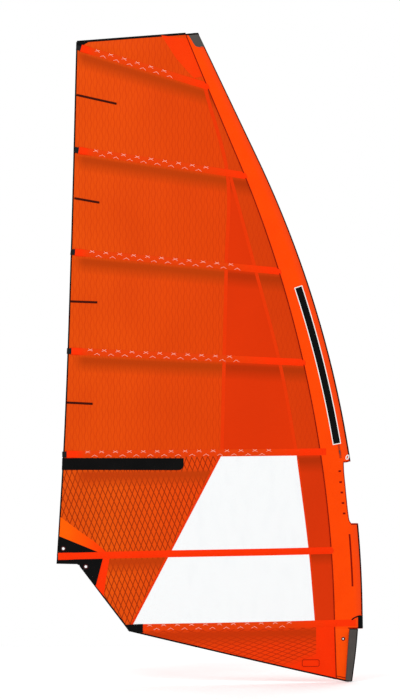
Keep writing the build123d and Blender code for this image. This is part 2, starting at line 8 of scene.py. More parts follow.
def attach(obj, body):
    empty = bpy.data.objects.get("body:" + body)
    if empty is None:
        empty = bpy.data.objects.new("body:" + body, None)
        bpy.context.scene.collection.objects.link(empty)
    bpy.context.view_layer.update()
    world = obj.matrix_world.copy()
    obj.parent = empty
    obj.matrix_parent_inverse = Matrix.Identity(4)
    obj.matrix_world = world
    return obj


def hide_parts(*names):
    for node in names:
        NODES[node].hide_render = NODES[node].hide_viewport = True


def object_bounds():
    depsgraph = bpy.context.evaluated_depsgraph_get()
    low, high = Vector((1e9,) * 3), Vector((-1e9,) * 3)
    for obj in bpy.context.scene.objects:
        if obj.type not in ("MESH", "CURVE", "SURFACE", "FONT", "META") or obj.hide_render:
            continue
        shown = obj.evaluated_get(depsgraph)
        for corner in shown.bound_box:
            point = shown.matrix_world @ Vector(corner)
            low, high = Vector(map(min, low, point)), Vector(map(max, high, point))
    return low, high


# A windsurf race sail built round its CAD frame.  Metres; the sail lies along XZ, head up,
# luff towards +X, and its full side faces -Y.

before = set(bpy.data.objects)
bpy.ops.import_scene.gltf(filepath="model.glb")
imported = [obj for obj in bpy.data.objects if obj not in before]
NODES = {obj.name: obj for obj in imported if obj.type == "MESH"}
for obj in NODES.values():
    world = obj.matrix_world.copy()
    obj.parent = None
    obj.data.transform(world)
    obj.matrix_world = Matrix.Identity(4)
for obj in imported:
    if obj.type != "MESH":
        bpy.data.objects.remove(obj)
CAD_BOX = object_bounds()

# ---- the sail's shape

LUFF_FOOT_X = 0.033
LUFF_FOOT_LEAN = 0.0141
LUFF_ARC_START = 0.161
LUFF_RADIUS = 8.554
LUFF_HEAD_LEAN = 0.4447
SLEEVE_WIDTH = 0.230
SLEEVE_WIDEST_Z = 0.900
SLEEVE_TAPER = 8.9e-3
NOSE_AT_FOOT = 0.033
NOSE_AT_HEAD = 0.022
LEECH_FOOT_X = -2.398
LEECH_LEAN = 0.035
DRAFT = 0.035
DRAFT_Z = 1.100
DRAFT_FADE = 1.2
SAIL_HEIGHT = 4.700
FULLNESS = 6.75
CLOTH = 0.001
FILM_THICK = 0.0005
OPENING_TOP = 1.310
OPENING_BOTTOM = 0.830
SWELL = 0.006
CREASE = 0.0022

BATTENS = [
    [(-2.222, 4.592), (-1.226, 4.292)],
    [(-2.241, 3.780), (-0.930, 3.581)],
    [(-2.270, 2.974), (-0.650, 2.823)],
    [(-2.299, 2.191), (-0.440, 2.101)],
    [(-2.336, 1.374), (-0.300, 1.396)],
    [(-2.377, 0.568), (-1.482, 0.592), (-0.210, 0.618)],
    [(-1.790, 0.007), (-0.190, 0.043)],
]
HEAD_LEECH = (-2.225, 4.633)
HEAD_LUFF = (-1.284, 4.703)
CLEW_TOP = (-2.381, 0.510)
CLEW_SHELF = (-2.225, 0.507)
CLEW_STEP = (-2.201, 0.495)
FOOT_LEECH = (-1.806, -0.021)
FOOT_LUFF = (-0.107, -0.415)
TACK_SEAM_X = -0.337
SEAM_HEAD_Z = 4.69
SEAM_FOOT_Z = -0.39


def luff_x(z):
    """The front edge of the sleeve at a height."""
    arc_x = LUFF_FOOT_X - tan(LUFF_FOOT_LEAN) * LUFF_ARC_START
    centre_x = arc_x - LUFF_RADIUS * cos(LUFF_FOOT_LEAN)
    centre_z = LUFF_ARC_START - LUFF_RADIUS * sin(LUFF_FOOT_LEAN)
    arc_end = centre_z + LUFF_RADIUS * sin(LUFF_HEAD_LEAN)
    if z < LUFF_ARC_START:
        return LUFF_FOOT_X - tan(LUFF_FOOT_LEAN) * z
    if z < arc_end:
        return centre_x + sqrt(LUFF_RADIUS**2 - (z - centre_z) ** 2)
    end_x = centre_x + LUFF_RADIUS * cos(LUFF_HEAD_LEAN)
    return end_x - tan(LUFF_HEAD_LEAN) * (z - arc_end)


def seam_x(z):
    """The seam where the sleeve meets the body of the sail."""
    return luff_x(z) - SLEEVE_WIDTH + SLEEVE_TAPER * (z - SLEEVE_WIDEST_Z) ** 2


def nose_radius(z):
    return NOSE_AT_FOOT + (NOSE_AT_HEAD - NOSE_AT_FOOT) * (z / SAIL_HEIGHT) ** 2


def axis_x(z):
    return luff_x(z) - nose_radius(z)


def camber_y(x, z):
    """The middle of the cloth without its swell."""
    front = axis_x(z)
    chord = front - (LEECH_FOOT_X + LEECH_LEAN * z)
    along = (front - x) / chord
    draft = DRAFT * chord * (1 - DRAFT_FADE * ((z - DRAFT_Z) / SAIL_HEIGHT) ** 2)
    return -draft * FULLNESS * along * (1 - along) ** 2


def ease(value, low=0.0, high=1.0):
    """0 below low, 1 above high and smooth between."""
    share = min(1.0, max(0.0, (value - low) / (high - low)))
    return share * share * (3 - 2 * share)


def line_z(points, x):
    """The height of a line of one or two runs at x; its end runs go on past its ends."""
    for start, end in zip(points, points[1:]):
        if x <= end[0] or end is points[-1]:
            return start[1] + (end[1] - start[1]) * (x - start[0]) / (end[0] - start[0])


def head_z(x):
    return line_z([HEAD_LEECH, HEAD_LUFF], x)


def foot_z(x):
    return line_z([FOOT_LEECH, FOOT_LUFF], x)


def foot_line(above):
    """A level that runs a little above the foot."""
    return lambda x: foot_z(x) + above


def through(points):
    """x as a smooth function of z through a few points."""
    points = sorted(points, key=lambda p: p[1])
    slopes = []
    for i in range(len(points)):
        (x0, z0), (x1, z1) = points[max(i - 1, 0)], points[min(i + 1, len(points) - 1)]
        slopes.append((x1 - x0) / (z1 - z0))

    def at(z):
        i = max(k for k in range(len(points) - 1) if k == 0 or z >= points[k][1])
        (x0, z0), (x1, z1) = points[i], points[i + 1]
        if z < z0:
            return x0 + slopes[i] * (z - z0)
        if z > z1:
            return x1 + slopes[i + 1] * (z - z1)
        span = z1 - z0
        t = (z - z0) / span
        start = (2 * t**3 - 3 * t**2 + 1) * x0 + (t**3 - 2 * t**2 + t) * span * slopes[i]
        return start + (3 * t**2 - 2 * t**3) * x1 + (t**3 - t**2) * span * slopes[i + 1]

    return at


leech_x = through([CLEW_TOP, (-2.318, 1.600), (-2.268, 2.993), HEAD_LEECH])
upright_x = through([(-1.290, 4.600), (-1.205, 4.240), (-1.036, 3.580), (-1.045, 2.900), (-1.082, 1.300)])
diagonal_x = through([(-1.032, 3.640), (-0.811, 2.816), (-0.617, 2.065), (-0.478, 1.300)])
window_rear_x = through([(-1.068, 1.410), (-1.815, -0.020)])
window_front_x = through([(-0.497, 1.410), (-0.398, 0.640), (-0.340, -0.020)])


def swell(x, z):
    """How far the cloth stands out between two battens, with its small creases."""
    lines = [head_z(x)] + [line_z(points, x) for points in BATTENS] + [foot_z(x)]
    for upper, lower in zip(lines, lines[1:]):
        if z >= lower:
            break
    share = min(1.0, max(0.0, (z - lower) / max(upper - lower, 0.05)))
    height = sin(pi * share) ** 2
    fade = ease(seam_x(z) - x, 0.0, 0.30)
    crease = noise.noise(Vector((x * 2.2, 3.0, z * 5.0)))
    crease += 0.5 * noise.noise(Vector((x * 7.0, 9.0, z * 11.0)))
    return fade * height * (SWELL + CREASE * crease)


def on_cloth(x, z, out=0.0):
    """A point on the body of the sail; out is towards -Y."""
    return Vector((x, camber_y(x, z) - swell(x, z) - out, z))


def closing(z):
    """How far the sleeve's two sides have closed: 0 where it is a tube, 1 where it lies flat."""
    if z > 0.5 * (OPENING_TOP + OPENING_BOTTOM):
        return ease(OPENING_TOP - z, 0.0, 0.13)
    if z > OPENING_BOTTOM:
        return ease(z - OPENING_BOTTOM, 0.0, 0.13)
    return ease(-z, 0.0, 0.062)


def on_sleeve(x, z, side, out=0.0):
    """A point on the sleeve's skin; side is -1 towards -Y and 1 towards +Y."""
    front, rear, radius = axis_x(z), seam_x(z), nose_radius(z)
    if x > front:
        angle = acos(min(1.0, (x - front) / radius))
        reach = radius + out
        return Vector((front + reach * cos(angle), side * reach * sin(angle), z))
    share = (x - rear) / (front - rear)
    middle, half = camber_y(rear, z) * (1 - share), CLOTH + (radius - CLOTH) * share
    ripple = 0.0016 * noise.noise(Vector((x * 9.0, side * 4.0, z * 6.0)))
    half += ripple * sin(pi * min(1.0, max(0.0, share))) ** 2
    flat = closing(z)
    middle += (camber_y(x, z) - middle) * flat
    half += (1.3 * CLOTH - half) * flat
    return Vector((x, middle + side * (half + out), z))


# ---- mesh builders


def resampled(points, count):
    """Points at even distances along a line."""
    lengths = [0.0]
    for a, b in zip(points, points[1:]):
        lengths.append(lengths[-1] + dist(a, b))
    if lengths[-1] < 1e-9:
        return [points[0]] * (count + 1)
    found, k = [], 0
    for i in range(count + 1):
        target = lengths[-1] * i / count
        while k < len(points) - 2 and lengths[k + 1] < target:
            k += 1
        share = (target - lengths[k]) / max(lengths[k + 1] - lengths[k], 1e-12)
        found.append(tuple(p + (q - p) * share for p, q in zip(points[k], points[k + 1])))
    return found


def length_of(points):
    return sum(dist(a, b) for a, b in zip(points, points[1:]))


def coons(low, high, left, right, step=0.04):
    """A grid of points between four edges; left and right run upwards."""
    across = max(2, ceil(max(length_of(low), length_of(high)) / step))
    up = max(2, ceil(max(length_of(left), length_of(right)) / step))
    low, high = resampled(low, across), resampled(high, across)
    left, right = resampled(left, up), resampled(right, up)
    rows = []
    for j in range(up + 1):
        v = j / up
        row = []
        for i in range(across + 1):
            u = i / across
            point = []
            for k in range(2):
                ruled = (1 - v) * low[i][k] + v * high[i][k] + (1 - u) * left[j][k] + u * right[j][k]
                corner = (1 - v) * ((1 - u) * low[0][k] + u * low[-1][k])
                corner += v * ((1 - u) * high[0][k] + u * high[-1][k])
                point.append(ruled - corner)
            row.append(tuple(point))
        rows.append(row)
    return rows


def meeting(side, level, guess):
    """Where a side x(z) meets a level z(x)."""
    z = guess
    for _ in range(30):
        z = 0.5 * (z + level(side(z)))
    return side(z), z


def run_up(side, low_z, high_z, steps=24):
    heights = [low_z + (high_z - low_z) * i / steps for i in range(steps + 1)]
    return [(side(z), z) for z in heights]


def run_across(level, start_x, end_x, steps=24):
    stations = [start_x + (end_x - start_x) * i / steps for i in range(steps + 1)]
    return [(x, level(x)) for x in stations]


def four_sided(left, right, low, high, guess):
    """The grid between two sides x(z) and two levels z(x)."""
    a, b = meeting(left, low, guess), meeting(right, low, guess)
    c, d = meeting(left, high, guess), meeting(right, high, guess)
    low_line = [a, *run_across(low, a[0], b[0])[1:-1], b]
    high_line = [c, *run_across(high, c[0], d[0])[1:-1], d]
    return coons(low_line, high_line, run_up(left, a[1], c[1]), run_up(right, b[1], d[1]))


HOLE_SIDES = 20


class Surface:
    """Points and faces gathered for one piece, made into a thin closed solid at the end."""

    def __init__(self):
        self.points, self.faces = [], []

    def grid(self, rows, wrap=False):
        start, width = len(self.points), len(rows[0])
        for row in rows:
            self.points += row
        for j in range(len(rows) - 1):
            for i in range(width if wrap else width - 1):
                a, b = start + j * width + i, start + j * width + (i + 1) % width
                self.faces.append((a, b, b + width, a + width))
        return self

    def outline(self, corners, place, step=0.04, holes=(), side=-1):
        """The inside of a closed outline of (x, z), filled with small triangles round any holes."""
        edge = []
        for a, b in zip(corners, corners[1:] + corners[:1]):
            edge += resampled([a, b], max(1, ceil(dist(a, b) / step)))[:-1]
        xs, zs = [x for x, z in edge], [z for x, z in edge]
        inner = []
        for i in range(floor(min(xs) / step), ceil(max(xs) / step) + 1):
            for j in range(floor(min(zs) / step), ceil(max(zs) / step) + 1):
                point = (i * step, j * step)
                clear = all(dist(point, (x, z)) > r + 0.3 * step for x, z, r in holes)
                if clear and min(dist(point, e) for e in edge) > 0.45 * step:
                    inner.append(point)
        rims, links = [], []
        for x, z, radius in holes:
            first = len(edge) + len(inner) + len(rims)
            for k in range(HOLE_SIDES):
                angle = 2 * pi * k / HOLE_SIDES
                rims.append((x + radius * cos(angle), z + radius * sin(angle)))
                links.append((first + k, first + (k + 1) % HOLE_SIDES))
        points = [Vector(p) for p in edge + inner + rims]
        found = geometry.delaunay_2d_cdt(points, links, [list(range(len(edge)))], 1, 1e-7)
        start = len(self.points)
        self.points += [place(p[0], p[1]) for p in found[0]]
        for face in found[2]:
            middle = sum((found[0][k] for k in face), Vector((0, 0))) / len(face)
            if all(dist(middle, (x, z)) > r for x, z, r in holes):
                self.faces.append(tuple(start + k for k in (face if side < 0 else face[::-1])))
        return self

    def tube(self, path, radius, sides):
        """A round tube along a line, with closed ends."""
        start = len(self.points)
        for k, point in enumerate(path):
            along = (path[min(k + 1, len(path) - 1)] - path[max(k - 1, 0)]).normalized()
            across = along.orthogonal() if k == 0 else (across - along * across.dot(along))
            across.normalize()
            other = along.cross(across)
            for step in range(sides):
                angle = 2 * pi * step / sides
                self.points.append(point + (across * cos(angle) + other * sin(angle)) * radius)
        for k in range(len(path) - 1):
            for step in range(sides):
                a, b = start + k * sides + step, start + k * sides + (step + 1) % sides
                self.faces.append((a, b, b + sides, a + sides))
        last = start + (len(path) - 1) * sides
        self.faces.append(tuple(range(start, start + sides))[::-1])
        self.faces.append(tuple(range(last, last + sides)))
        return self

    def closed(self, name):
        """A mesh of faces that already close on themselves."""
        mesh = bpy.data.meshes.new(name)
        mesh.from_pydata([list(p) for p in self.points], [], self.faces)
        mesh.validate()
        return mesh

    def area(self):
        total = 0.0
        for face in self.faces:
            points = [self.points[k] for k in face]
            for b, c in zip(points[1:], points[2:]):
                total += (b - points[0]).cross(c - points[0]).length / 2
        return total

    def solid(self, name, outer, inner):
        """A mesh with a face at outer and one at inner from the surface, and a rim."""
        form = bmesh.new()
        for point in self.points:
            form.verts.new(point)
        form.verts.ensure_lookup_table()
        for face in self.faces:
            if len(set(face)) == len(face):
                form.faces.new([form.verts[k] for k in face])
        bmesh.ops.remove_doubles(form, verts=form.verts, dist=1e-6)
        bmesh.ops.dissolve_degenerate(form, edges=form.edges, dist=1e-7)
        loose = [v for v in form.verts if not v.link_faces]
        bmesh.ops.delete(form, geom=loose, context="VERTS")
        form.normal_update()
        form.verts.index_update()
        sides = [list(v.co + v.normal * outer) for v in form.verts]
        count = len(sides)
        sides += [list(v.co - v.normal * inner) for v in form.verts]
        faces = [[v.index for v in f.verts] for f in form.faces]
        faces += [[v.index + count for v in reversed(f.verts)] for f in form.faces]
        for edge in form.edges:
            if edge.is_boundary:
                loop = edge.link_loops[0]
                a, b = loop.vert.index, loop.link_loop_next.vert.index
                faces.append([b, a, a + count, b + count])
        form.free()
        mesh = bpy.data.meshes.new(name)
        mesh.from_pydata(sides, [], faces)
        mesh.validate()
        return mesh


# Painted highlight: the sleeve is painted paler over its front few centimetres, standing in for light on
# the round nose; these set where it is full and where it has faded.
NOSE_PAINTED_HIGHLIGHT = "nose_painted_highlight"
HIGHLIGHT_FULL_TO, HIGHLIGHT_GONE_FROM = 0.012, 0.075


def finished(name, mesh, material, replaces=(), body="sail", sharp=50):
    """A piece from its mesh: its material, the body it rides and the nodes it stands for."""
    piece = bpy.data.objects.new(name, mesh)
    bpy.context.collection.objects.link(piece)
    mesh.materials.append(material)
    mesh.polygons.foreach_set("use_smooth", [True] * len(mesh.polygons))
    mesh.set_sharp_from_angle(angle=radians(sharp))
    if material is SLEEVE:
        # How strong the painted nose highlight is at each point, 1 at the luff and 0 a few centimetres
        # behind it.
        highlight_share = mesh.attributes.new(NOSE_PAINTED_HIGHLIGHT, "FLOAT", "POINT")
        behind = [luff_x(v.co.z) - v.co.x for v in mesh.vertices]
        highlight_share.data.foreach_set("value", [1 - ease(d, HIGHLIGHT_FULL_TO, HIGHLIGHT_GONE_FROM) for d in behind])
    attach(piece, body)
    if replaces:
        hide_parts(*replaces)
    return piece


SHEETS, TRIMS = {}, {}


def turned_size(points):
    """The smallest rectangle round some points of a plane, as width and length."""
    best = None
    for degrees in range(0, 90, 3):
        c, s = cos(radians(degrees)), sin(radians(degrees))
        across = [x * c + z * s for x, z in points]
        up = [z * c - x * s for x, z in points]
        sides = sorted([max(across) - min(across), max(up) - min(up)])
        if best is None or sides[0] * sides[1] < best[0] * best[1]:
            best = sides
    return best


def sheet(name, surface, material, replaces=(), thick=CLOTH, flat=None):
    """A cloth panel with its own thickness, listed in a table with the trims that lie on it."""
    area = surface.area()
    flat = flat or turned_size([(p.x, p.z) for p in surface.points])
    piece = finished(name, surface.solid(name, thick / 2, thick / 2), material, replaces)
    scale = max(1.0, area / (flat[0] * flat[1]))
    SHEETS[name] = (piece, (flat[0], flat[1] * scale), area)
    TRIMS.setdefault(name, [])


def trim(name, surface, material, on, outer=0.0006, inner=0.0002, replaces=()):
    """A tape, patch or thread on a panel."""
    piece = finished(name, surface.solid(name, outer, inner), material, replaces)
    TRIMS.setdefault(on, []).append(piece)


def band(path, width, place, across=2, step=0.03):
    """A grid along a path of (x, z), width wide, put on a surface by place(x, z)."""
    path = resampled(path, max(1, ceil(length_of(path) / step)))
    rows = []
    for k in range(across + 1):
        shift = width * (k / across - 0.5)
        row = []
        for i, (x, z) in enumerate(path):
            (x0, z0), (x1, z1) = path[max(i - 1, 0)], path[min(i + 1, len(path) - 1)]
            long = hypot(x1 - x0, z1 - z0)
            row.append(place(x - (z1 - z0) / long * shift, z + (x1 - x0) / long * shift))
        rows.append(row)
    return rows


def facing(rows, side):
    """Rows turned so that their faces look to -Y or +Y."""
    a, b, c = rows[0][0], rows[0][1], rows[1][0]
    towards = (b - a).cross(c - a).y
    return rows if towards * side > 0 else rows[::-1]


def both_sides(path, width, place, out, across=2, step=0.03):
    """A band on each face; place(x, z, side, out) puts a point over the face on that side."""
    surface = Surface()
    for side in (-1, 1):
        rows = band(path, width, lambda x, z, s=side: place(x, z, s, out), across, step)
        surface.grid(facing(rows, side))
    return surface


def cloth_face(x, z, side, out=CLOTH / 2):
    return on_cloth(x, z, 0.0) + Vector((0, side * out, 0))


# ---- materials


LIGHT_ON_SAIL = 1.13
CLOTH_GLOSS = 0.035


def screen(red, green, blue):
    """The linear base colour that looks like these screen values of 0 to 255 in this light."""
    shares = [v / 255 for v in (red, green, blue)]
    linear = [v / 12.92 if v <= 0.04045 else ((v + 0.055) / 1.055) ** 2.4 for v in shares]
    return (*[v / LIGHT_ON_SAIL for v in linear], 1.0)


class Finish:
    """A material being made: a Principled shader and the nodes that feed it."""

    def __init__(self, name, roughness, specular=0.5, metallic=0.0):
        self.material = bpy.data.materials.new(name)
        self.material.use_nodes = True
        self.tree = self.material.node_tree
        self.shader = self.tree.nodes["Principled BSDF"]
        self.shader.inputs["Roughness"].default_value = roughness
        self.shader.inputs["Specular IOR Level"].default_value = specular
        self.shader.inputs["Metallic"].default_value = metallic
        self.place = self.node("ShaderNodeTexCoord").outputs["Object"]
        parts = self.node("ShaderNodeSeparateXYZ", {0: self.place}).outputs
        self.x, self.z = parts[0], parts[2]

    def node(self, kind, inputs=(), **settings):
        made = self.tree.nodes.new(kind)
        for key, value in settings.items():
            setattr(made, key, value)
        for key, value in dict(inputs).items():
            self.feed(made.inputs[key], value)
        return made

    def feed(self, socket, value):
        if isinstance(value, bpy.types.NodeSocket):
            self.tree.links.new(value, socket)
        else:
            socket.default_value = value

    def calc(self, operation, a, b=0.0, clamp=False):
        return self.node("ShaderNodeMath", {0: a, 1: b}, operation=operation, use_clamp=clamp).outputs[0]

    def times(self, a, b):
        return self.calc("MULTIPLY", a, b)

    def plus(self, a, b):
        return self.calc("ADD", a, b)

    def less(self, a, b, clamp=False):
        return self.calc("SUBTRACT", a, b, clamp)

    def over(self, a, b, clamp=False):
        return self.calc("DIVIDE", a, b, clamp)

    def mix(self, share, a, b):
        inputs = {0: share, 6: a, 7: b}
        return self.node("ShaderNodeMix", inputs, data_type="RGBA").outputs[2]

    def noise(self, scale, detail=3.0, stretch=(1, 1, 1)):
        place = self.node("ShaderNodeMapping", {"Vector": self.place, "Scale": stretch}).outputs[0]
        inputs = {"Vector": place, "Scale": scale, "Detail": detail}
        return self.node("ShaderNodeTexNoise", inputs).outputs[0]

    def lines(self, value, half, soft):
        """1 on every whole number of value, falling to 0 at half + soft away from it."""
        away = self.calc("PINGPONG", value, 0.5)
        return self.less(1.0, self.over(self.less(away, half), soft), True)

    def turned(self, degrees):
        """The x and z of the pattern when it is turned in the plane of the cloth."""
        cosine, sine = cos(radians(degrees)), sin(radians(degrees))
        x = self.plus(self.times(self.x, cosine), self.times(self.z, sine))
        z = self.less(self.times(self.z, cosine), self.times(self.x, sine))
        return x, z

    def diamonds(self, width, height, half, soft, degrees=0.0):
        """Straight threads that cross in diamonds."""
        x, z = self.turned(degrees)
        u, v = self.over(x, width), self.over(z, height)
        rising = self.lines(self.less(v, u), half, soft)
        falling = self.lines(self.plus(v, u), half, soft)
        return self.calc("MAXIMUM", rising, falling)

    def chain(self, pitch, height, swing, half, soft):
        """Upright threads that swing towards and away from each other."""
        turn = self.times(self.z, 2 * pi / height)
        wave = self.times(self.calc("SINE", turn), swing)
        even = self.over(self.less(self.x, wave), 2 * pitch)
        odd = self.plus(self.over(self.plus(self.x, wave), 2 * pitch), 0.5)
        weak = self.times(self.lines(odd, half, soft), 0.65)
        return self.calc("MAXIMUM", self.lines(even, half, soft), weak)

    def weave(self, pitch):
        """A fine plain weave as a height from 0 to 1."""
        warp = self.calc("PINGPONG", self.over(self.x, pitch), 0.5)
        weft = self.calc("PINGPONG", self.over(self.z, pitch), 0.5)
        return self.plus(warp, weft)

    def ramp(self, value, low, high):
        """0 at low, 1 at high, held beyond."""
        return self.over(self.less(value, low), high - low, True)

    def bump(self, height, depth, strength=1.0):
        made = self.node("ShaderNodeBump", {"Height": height, "Distance": depth, "Strength": strength})
        self.tree.links.new(made.outputs[0], self.shader.inputs["Normal"])

    def colour(self, value):
        self.feed(self.shader.inputs["Base Color"], value)
        return self.material

    def rough(self, value):
        self.feed(self.shader.inputs["Roughness"], value)


def painted_shade_below_battens(finish, shade_bands):
    """Painted shade: a soft darker band under some battens, standing in for the shadow each batten casts
    on the cloth: (batten, how far under its line the band starts).
    """
    total = 0.0
    for number, drop in shade_bands:
        (x0, z0), (x1, z1) = BATTENS[number - 1][:2]
        slope = (z1 - z0) / (x1 - x0)
        level = finish.plus(finish.times(finish.x, slope), z0 - slope * x0 - drop)
        under = finish.less(level, finish.z)
        shade = finish.times(finish.ramp(under, 0.0, 0.030), finish.ramp(under, 0.145, 0.055))
        total = finish.plus(total, shade)
    inward = finish.ramp(finish.x, -2.27, -2.17)
    return finish.times(total, inward)


# Where painted shade falls under the top four battens: each batten and how far under its line the band
# starts.
SHADE_UNDER_TOP_BATTENS = ((1, 0.022), (2, 0.022), (3, 0.022), (4, 0.022))


def sailcloth(
    name, near_leech, near_luff, threads=None, shade_bands=SHADE_UNDER_TOP_BATTENS, spread=(-2.3, -1.1), corner=None
):
    """Laminate: film over a thread scrim, a little uneven in tone, with soft handling creases, and
    painted shade in soft bands under the listed battens.

    threads is (pattern, strength, tone), and spread is where the tone goes from one end to the other.
    corner is (slope, x, z, tone): below that line the scrim fades out under a plain reinforcement.
    """
    roughness = 0.42
    finish = Finish(name, roughness, CLOTH_GLOSS)
    tone = finish.mix(finish.ramp(finish.x, *spread), near_leech, near_luff)
    cloudy = finish.ramp(finish.noise(2.4, 4.0, (1.0, 1.0, 0.6)), 0.35, 0.7)
    darker = tuple(c * 0.86 for c in near_luff[:3]) + (1.0,)
    tone = finish.mix(finish.times(cloudy, 0.45), tone, darker)
    height = finish.times(finish.weave(0.004), 0.25)
    if threads:
        pattern, share, thread = threads
        mask = pattern(finish)
        if corner:
            slope, x, z, plain = corner
            line = finish.plus(finish.times(finish.x, slope), z - slope * x)
            covered = finish.ramp(finish.less(line, finish.z), -0.030, 0.030)
            mask = finish.times(mask, finish.less(1.0, covered))
            tone = finish.mix(covered, tone, plain)
        tone = finish.mix(finish.times(mask, share), tone, thread)
        height = finish.plus(height, mask)
    # The painted shade's colour, darker than the cloth, mixed in under the battens.
    shade = (near_luff[0] * 0.64, near_luff[1] * 0.78, near_luff[2] * 0.6, 1.0)
    tone = finish.mix(finish.times(painted_shade_below_battens(finish, shade_bands), 0.95), tone, shade)
    height = finish.plus(height, finish.times(finish.noise(22.0, 5.0, (1.0, 1.0, 0.5)), 2.4))
    finish.bump(height, 0.0009, 0.6)
    uneven = finish.plus(roughness - 0.10, finish.times(finish.noise(9.0, 4.0), 0.2))
    finish.rough(uneven)
    return finish.colour(tone)


def woven(name, main, other, roughness=0.62, pitch=0.0035, spread=None, worn=None, painted_nose_highlight=None):
    """Woven polyester, as used for the sleeve, pockets and tapes."""
    finish = Finish(name, roughness, CLOTH_GLOSS)
    cloudy = finish.ramp(finish.noise(5.0, 5.0), 0.35, 0.7)
    tone = finish.mix(finish.times(cloudy, 0.6), main, other)
    for low, high, far in spread or ():
        tone = finish.mix(finish.ramp(finish.x, low, high), tone, far)
    # A paler painted highlight along the sleeve's nose.
    if painted_nose_highlight:
        near = finish.node("ShaderNodeAttribute", attribute_name=NOSE_PAINTED_HIGHLIGHT).outputs["Fac"]
        tone = finish.mix(finish.times(near, 0.6), tone, painted_nose_highlight)
    thread = finish.weave(pitch)
    specks = finish.ramp(finish.noise(160.0, 3.0), 0.55, 0.75)
    tone = finish.mix(finish.times(specks, 0.10), tone, worn or screen(255, 120, 60))
    height = finish.plus(thread, finish.times(finish.noise(30.0, 5.0), 1.6))
    finish.bump(height, 0.0008, 0.5)
    return finish.colour(tone)


def moulded(name, tone, roughness=0.45, specular=0.5, metallic=0.0, grain=420.0):
    """Moulded plastic or bare metal with a fine grain and slightly rubbed high spots."""
    finish = Finish(name, roughness, specular, metallic)
    rubbed = finish.ramp(finish.noise(70.0, 6.0), 0.55, 0.8)
    light = tuple(min(1.0, c * 1.8 + 0.01) for c in tone[:3]) + (1.0,)
    finish.bump(finish.noise(grain, 4.0), 0.0003, 0.5)
    finish.rough(finish.plus(roughness - 0.08, finish.times(rubbed, 0.16)))
    return finish.colour(finish.mix(finish.times(rubbed, 0.5), tone, light))


def clear_film():
    """Clear monofilm with faint scuffs."""
    finish = Finish("clear_film", 0.08, 0.5)
    scuff = finish.ramp(finish.noise(14.0, 6.0, (1.0, 1.0, 0.35)), 0.5, 0.8)
    finish.rough(finish.plus(0.06, finish.times(scuff, 0.22)))
    finish.shader.inputs["Alpha"].default_value = 0.16
    finish.bump(finish.noise(12.0, 3.0), 0.0008, 0.4)
    return finish.colour(finish.mix(scuff, screen(232, 238, 240), screen(214, 222, 226)))


# Each cloth below has painted shade under the battens listed for it.
SCRIM = sailcloth(
    "scrim_cloth",
    screen(226, 78, 6),
    screen(223, 66, 4),
    (lambda finish: finish.chain(0.023, 0.110, 0.0050, 0.02, 0.11), 0.42, screen(190, 46, 2)),
)
MID = sailcloth("mid_cloth", screen(220, 52, 2), screen(222, 52, 2), spread=(-1.1, -0.5))
LUFF = sailcloth(
    "luff_cloth",
    screen(212, 66, 6),
    screen(216, 58, 4),
    (lambda finish: finish.chain(0.019, 0.110, 0.006, 0.03, 0.10), 0.22, screen(184, 40, 2)),
    spread=(-1.2, -0.4),
)
BESIDE_WINDOW = sailcloth(
    "window_front_cloth", screen(216, 54, 4), screen(216, 52, 4), shade_bands=((5, 0.022), (6, -0.018))
)
MESH = sailcloth(
    "mesh_laminate",
    screen(228, 88, 8),
    screen(228, 66, 6),
    (lambda finish: finish.diamonds(0.0423, 0.1026, 0.045, 0.075, 3.8), 0.74, screen(104, 18, 2)),
    shade_bands=((5, 0.122), (6, 0.010)),
)
FOOT_MESH = sailcloth(
    "foot_laminate",
    screen(218, 70, 6),
    screen(236, 58, 3),
    (lambda finish: finish.diamonds(0.088, 0.034, 0.035, 0.07, 3.8), 0.70, screen(148, 24, 2)),
    shade_bands=((7, 0.022),),
    spread=(-2.0, -0.7),
    corner=(0.367, -0.344, -0.194, screen(246, 50, 0)),
)

# The sleeve cloth, with a paler painted highlight along its nose.
SLEEVE = woven("sleeve_cloth", screen(254, 72, 0), screen(247, 66, 0), painted_nose_highlight=screen(232, 66, 22))
TONGUE = woven("tongue_cloth", screen(255, 80, 4), screen(250, 74, 2))
TACK = woven("tack_cloth", screen(250, 50, 0), screen(242, 46, 0))
BAND = woven("band_cloth", screen(250, 50, 0), screen(243, 46, 0))
TAPE = woven("seam_tape", screen(230, 54, 2), screen(226, 50, 2))
CLEW_BAND = woven(
    "clew_band", screen(255, 96, 0), screen(250, 88, 0), spread=[(-2.30, -2.02, screen(250, 54, 0))]
)

BRIGHT = woven("bright_patch", screen(244, 58, 2), screen(238, 52, 2))
FAINT = woven("faint_print", screen(176, 30, 4), screen(160, 26, 3))
ZIP_TAPE = woven("zip_tape_cloth", screen(214, 58, 2), screen(200, 52, 2))
DARK_SEAM = woven("dark_seam", screen(140, 12, 2), screen(118, 10, 2))
BLACK = woven("black_cloth", screen(9, 9, 9), screen(17, 16, 16), 0.55, 0.003, worn=screen(36, 34, 34))
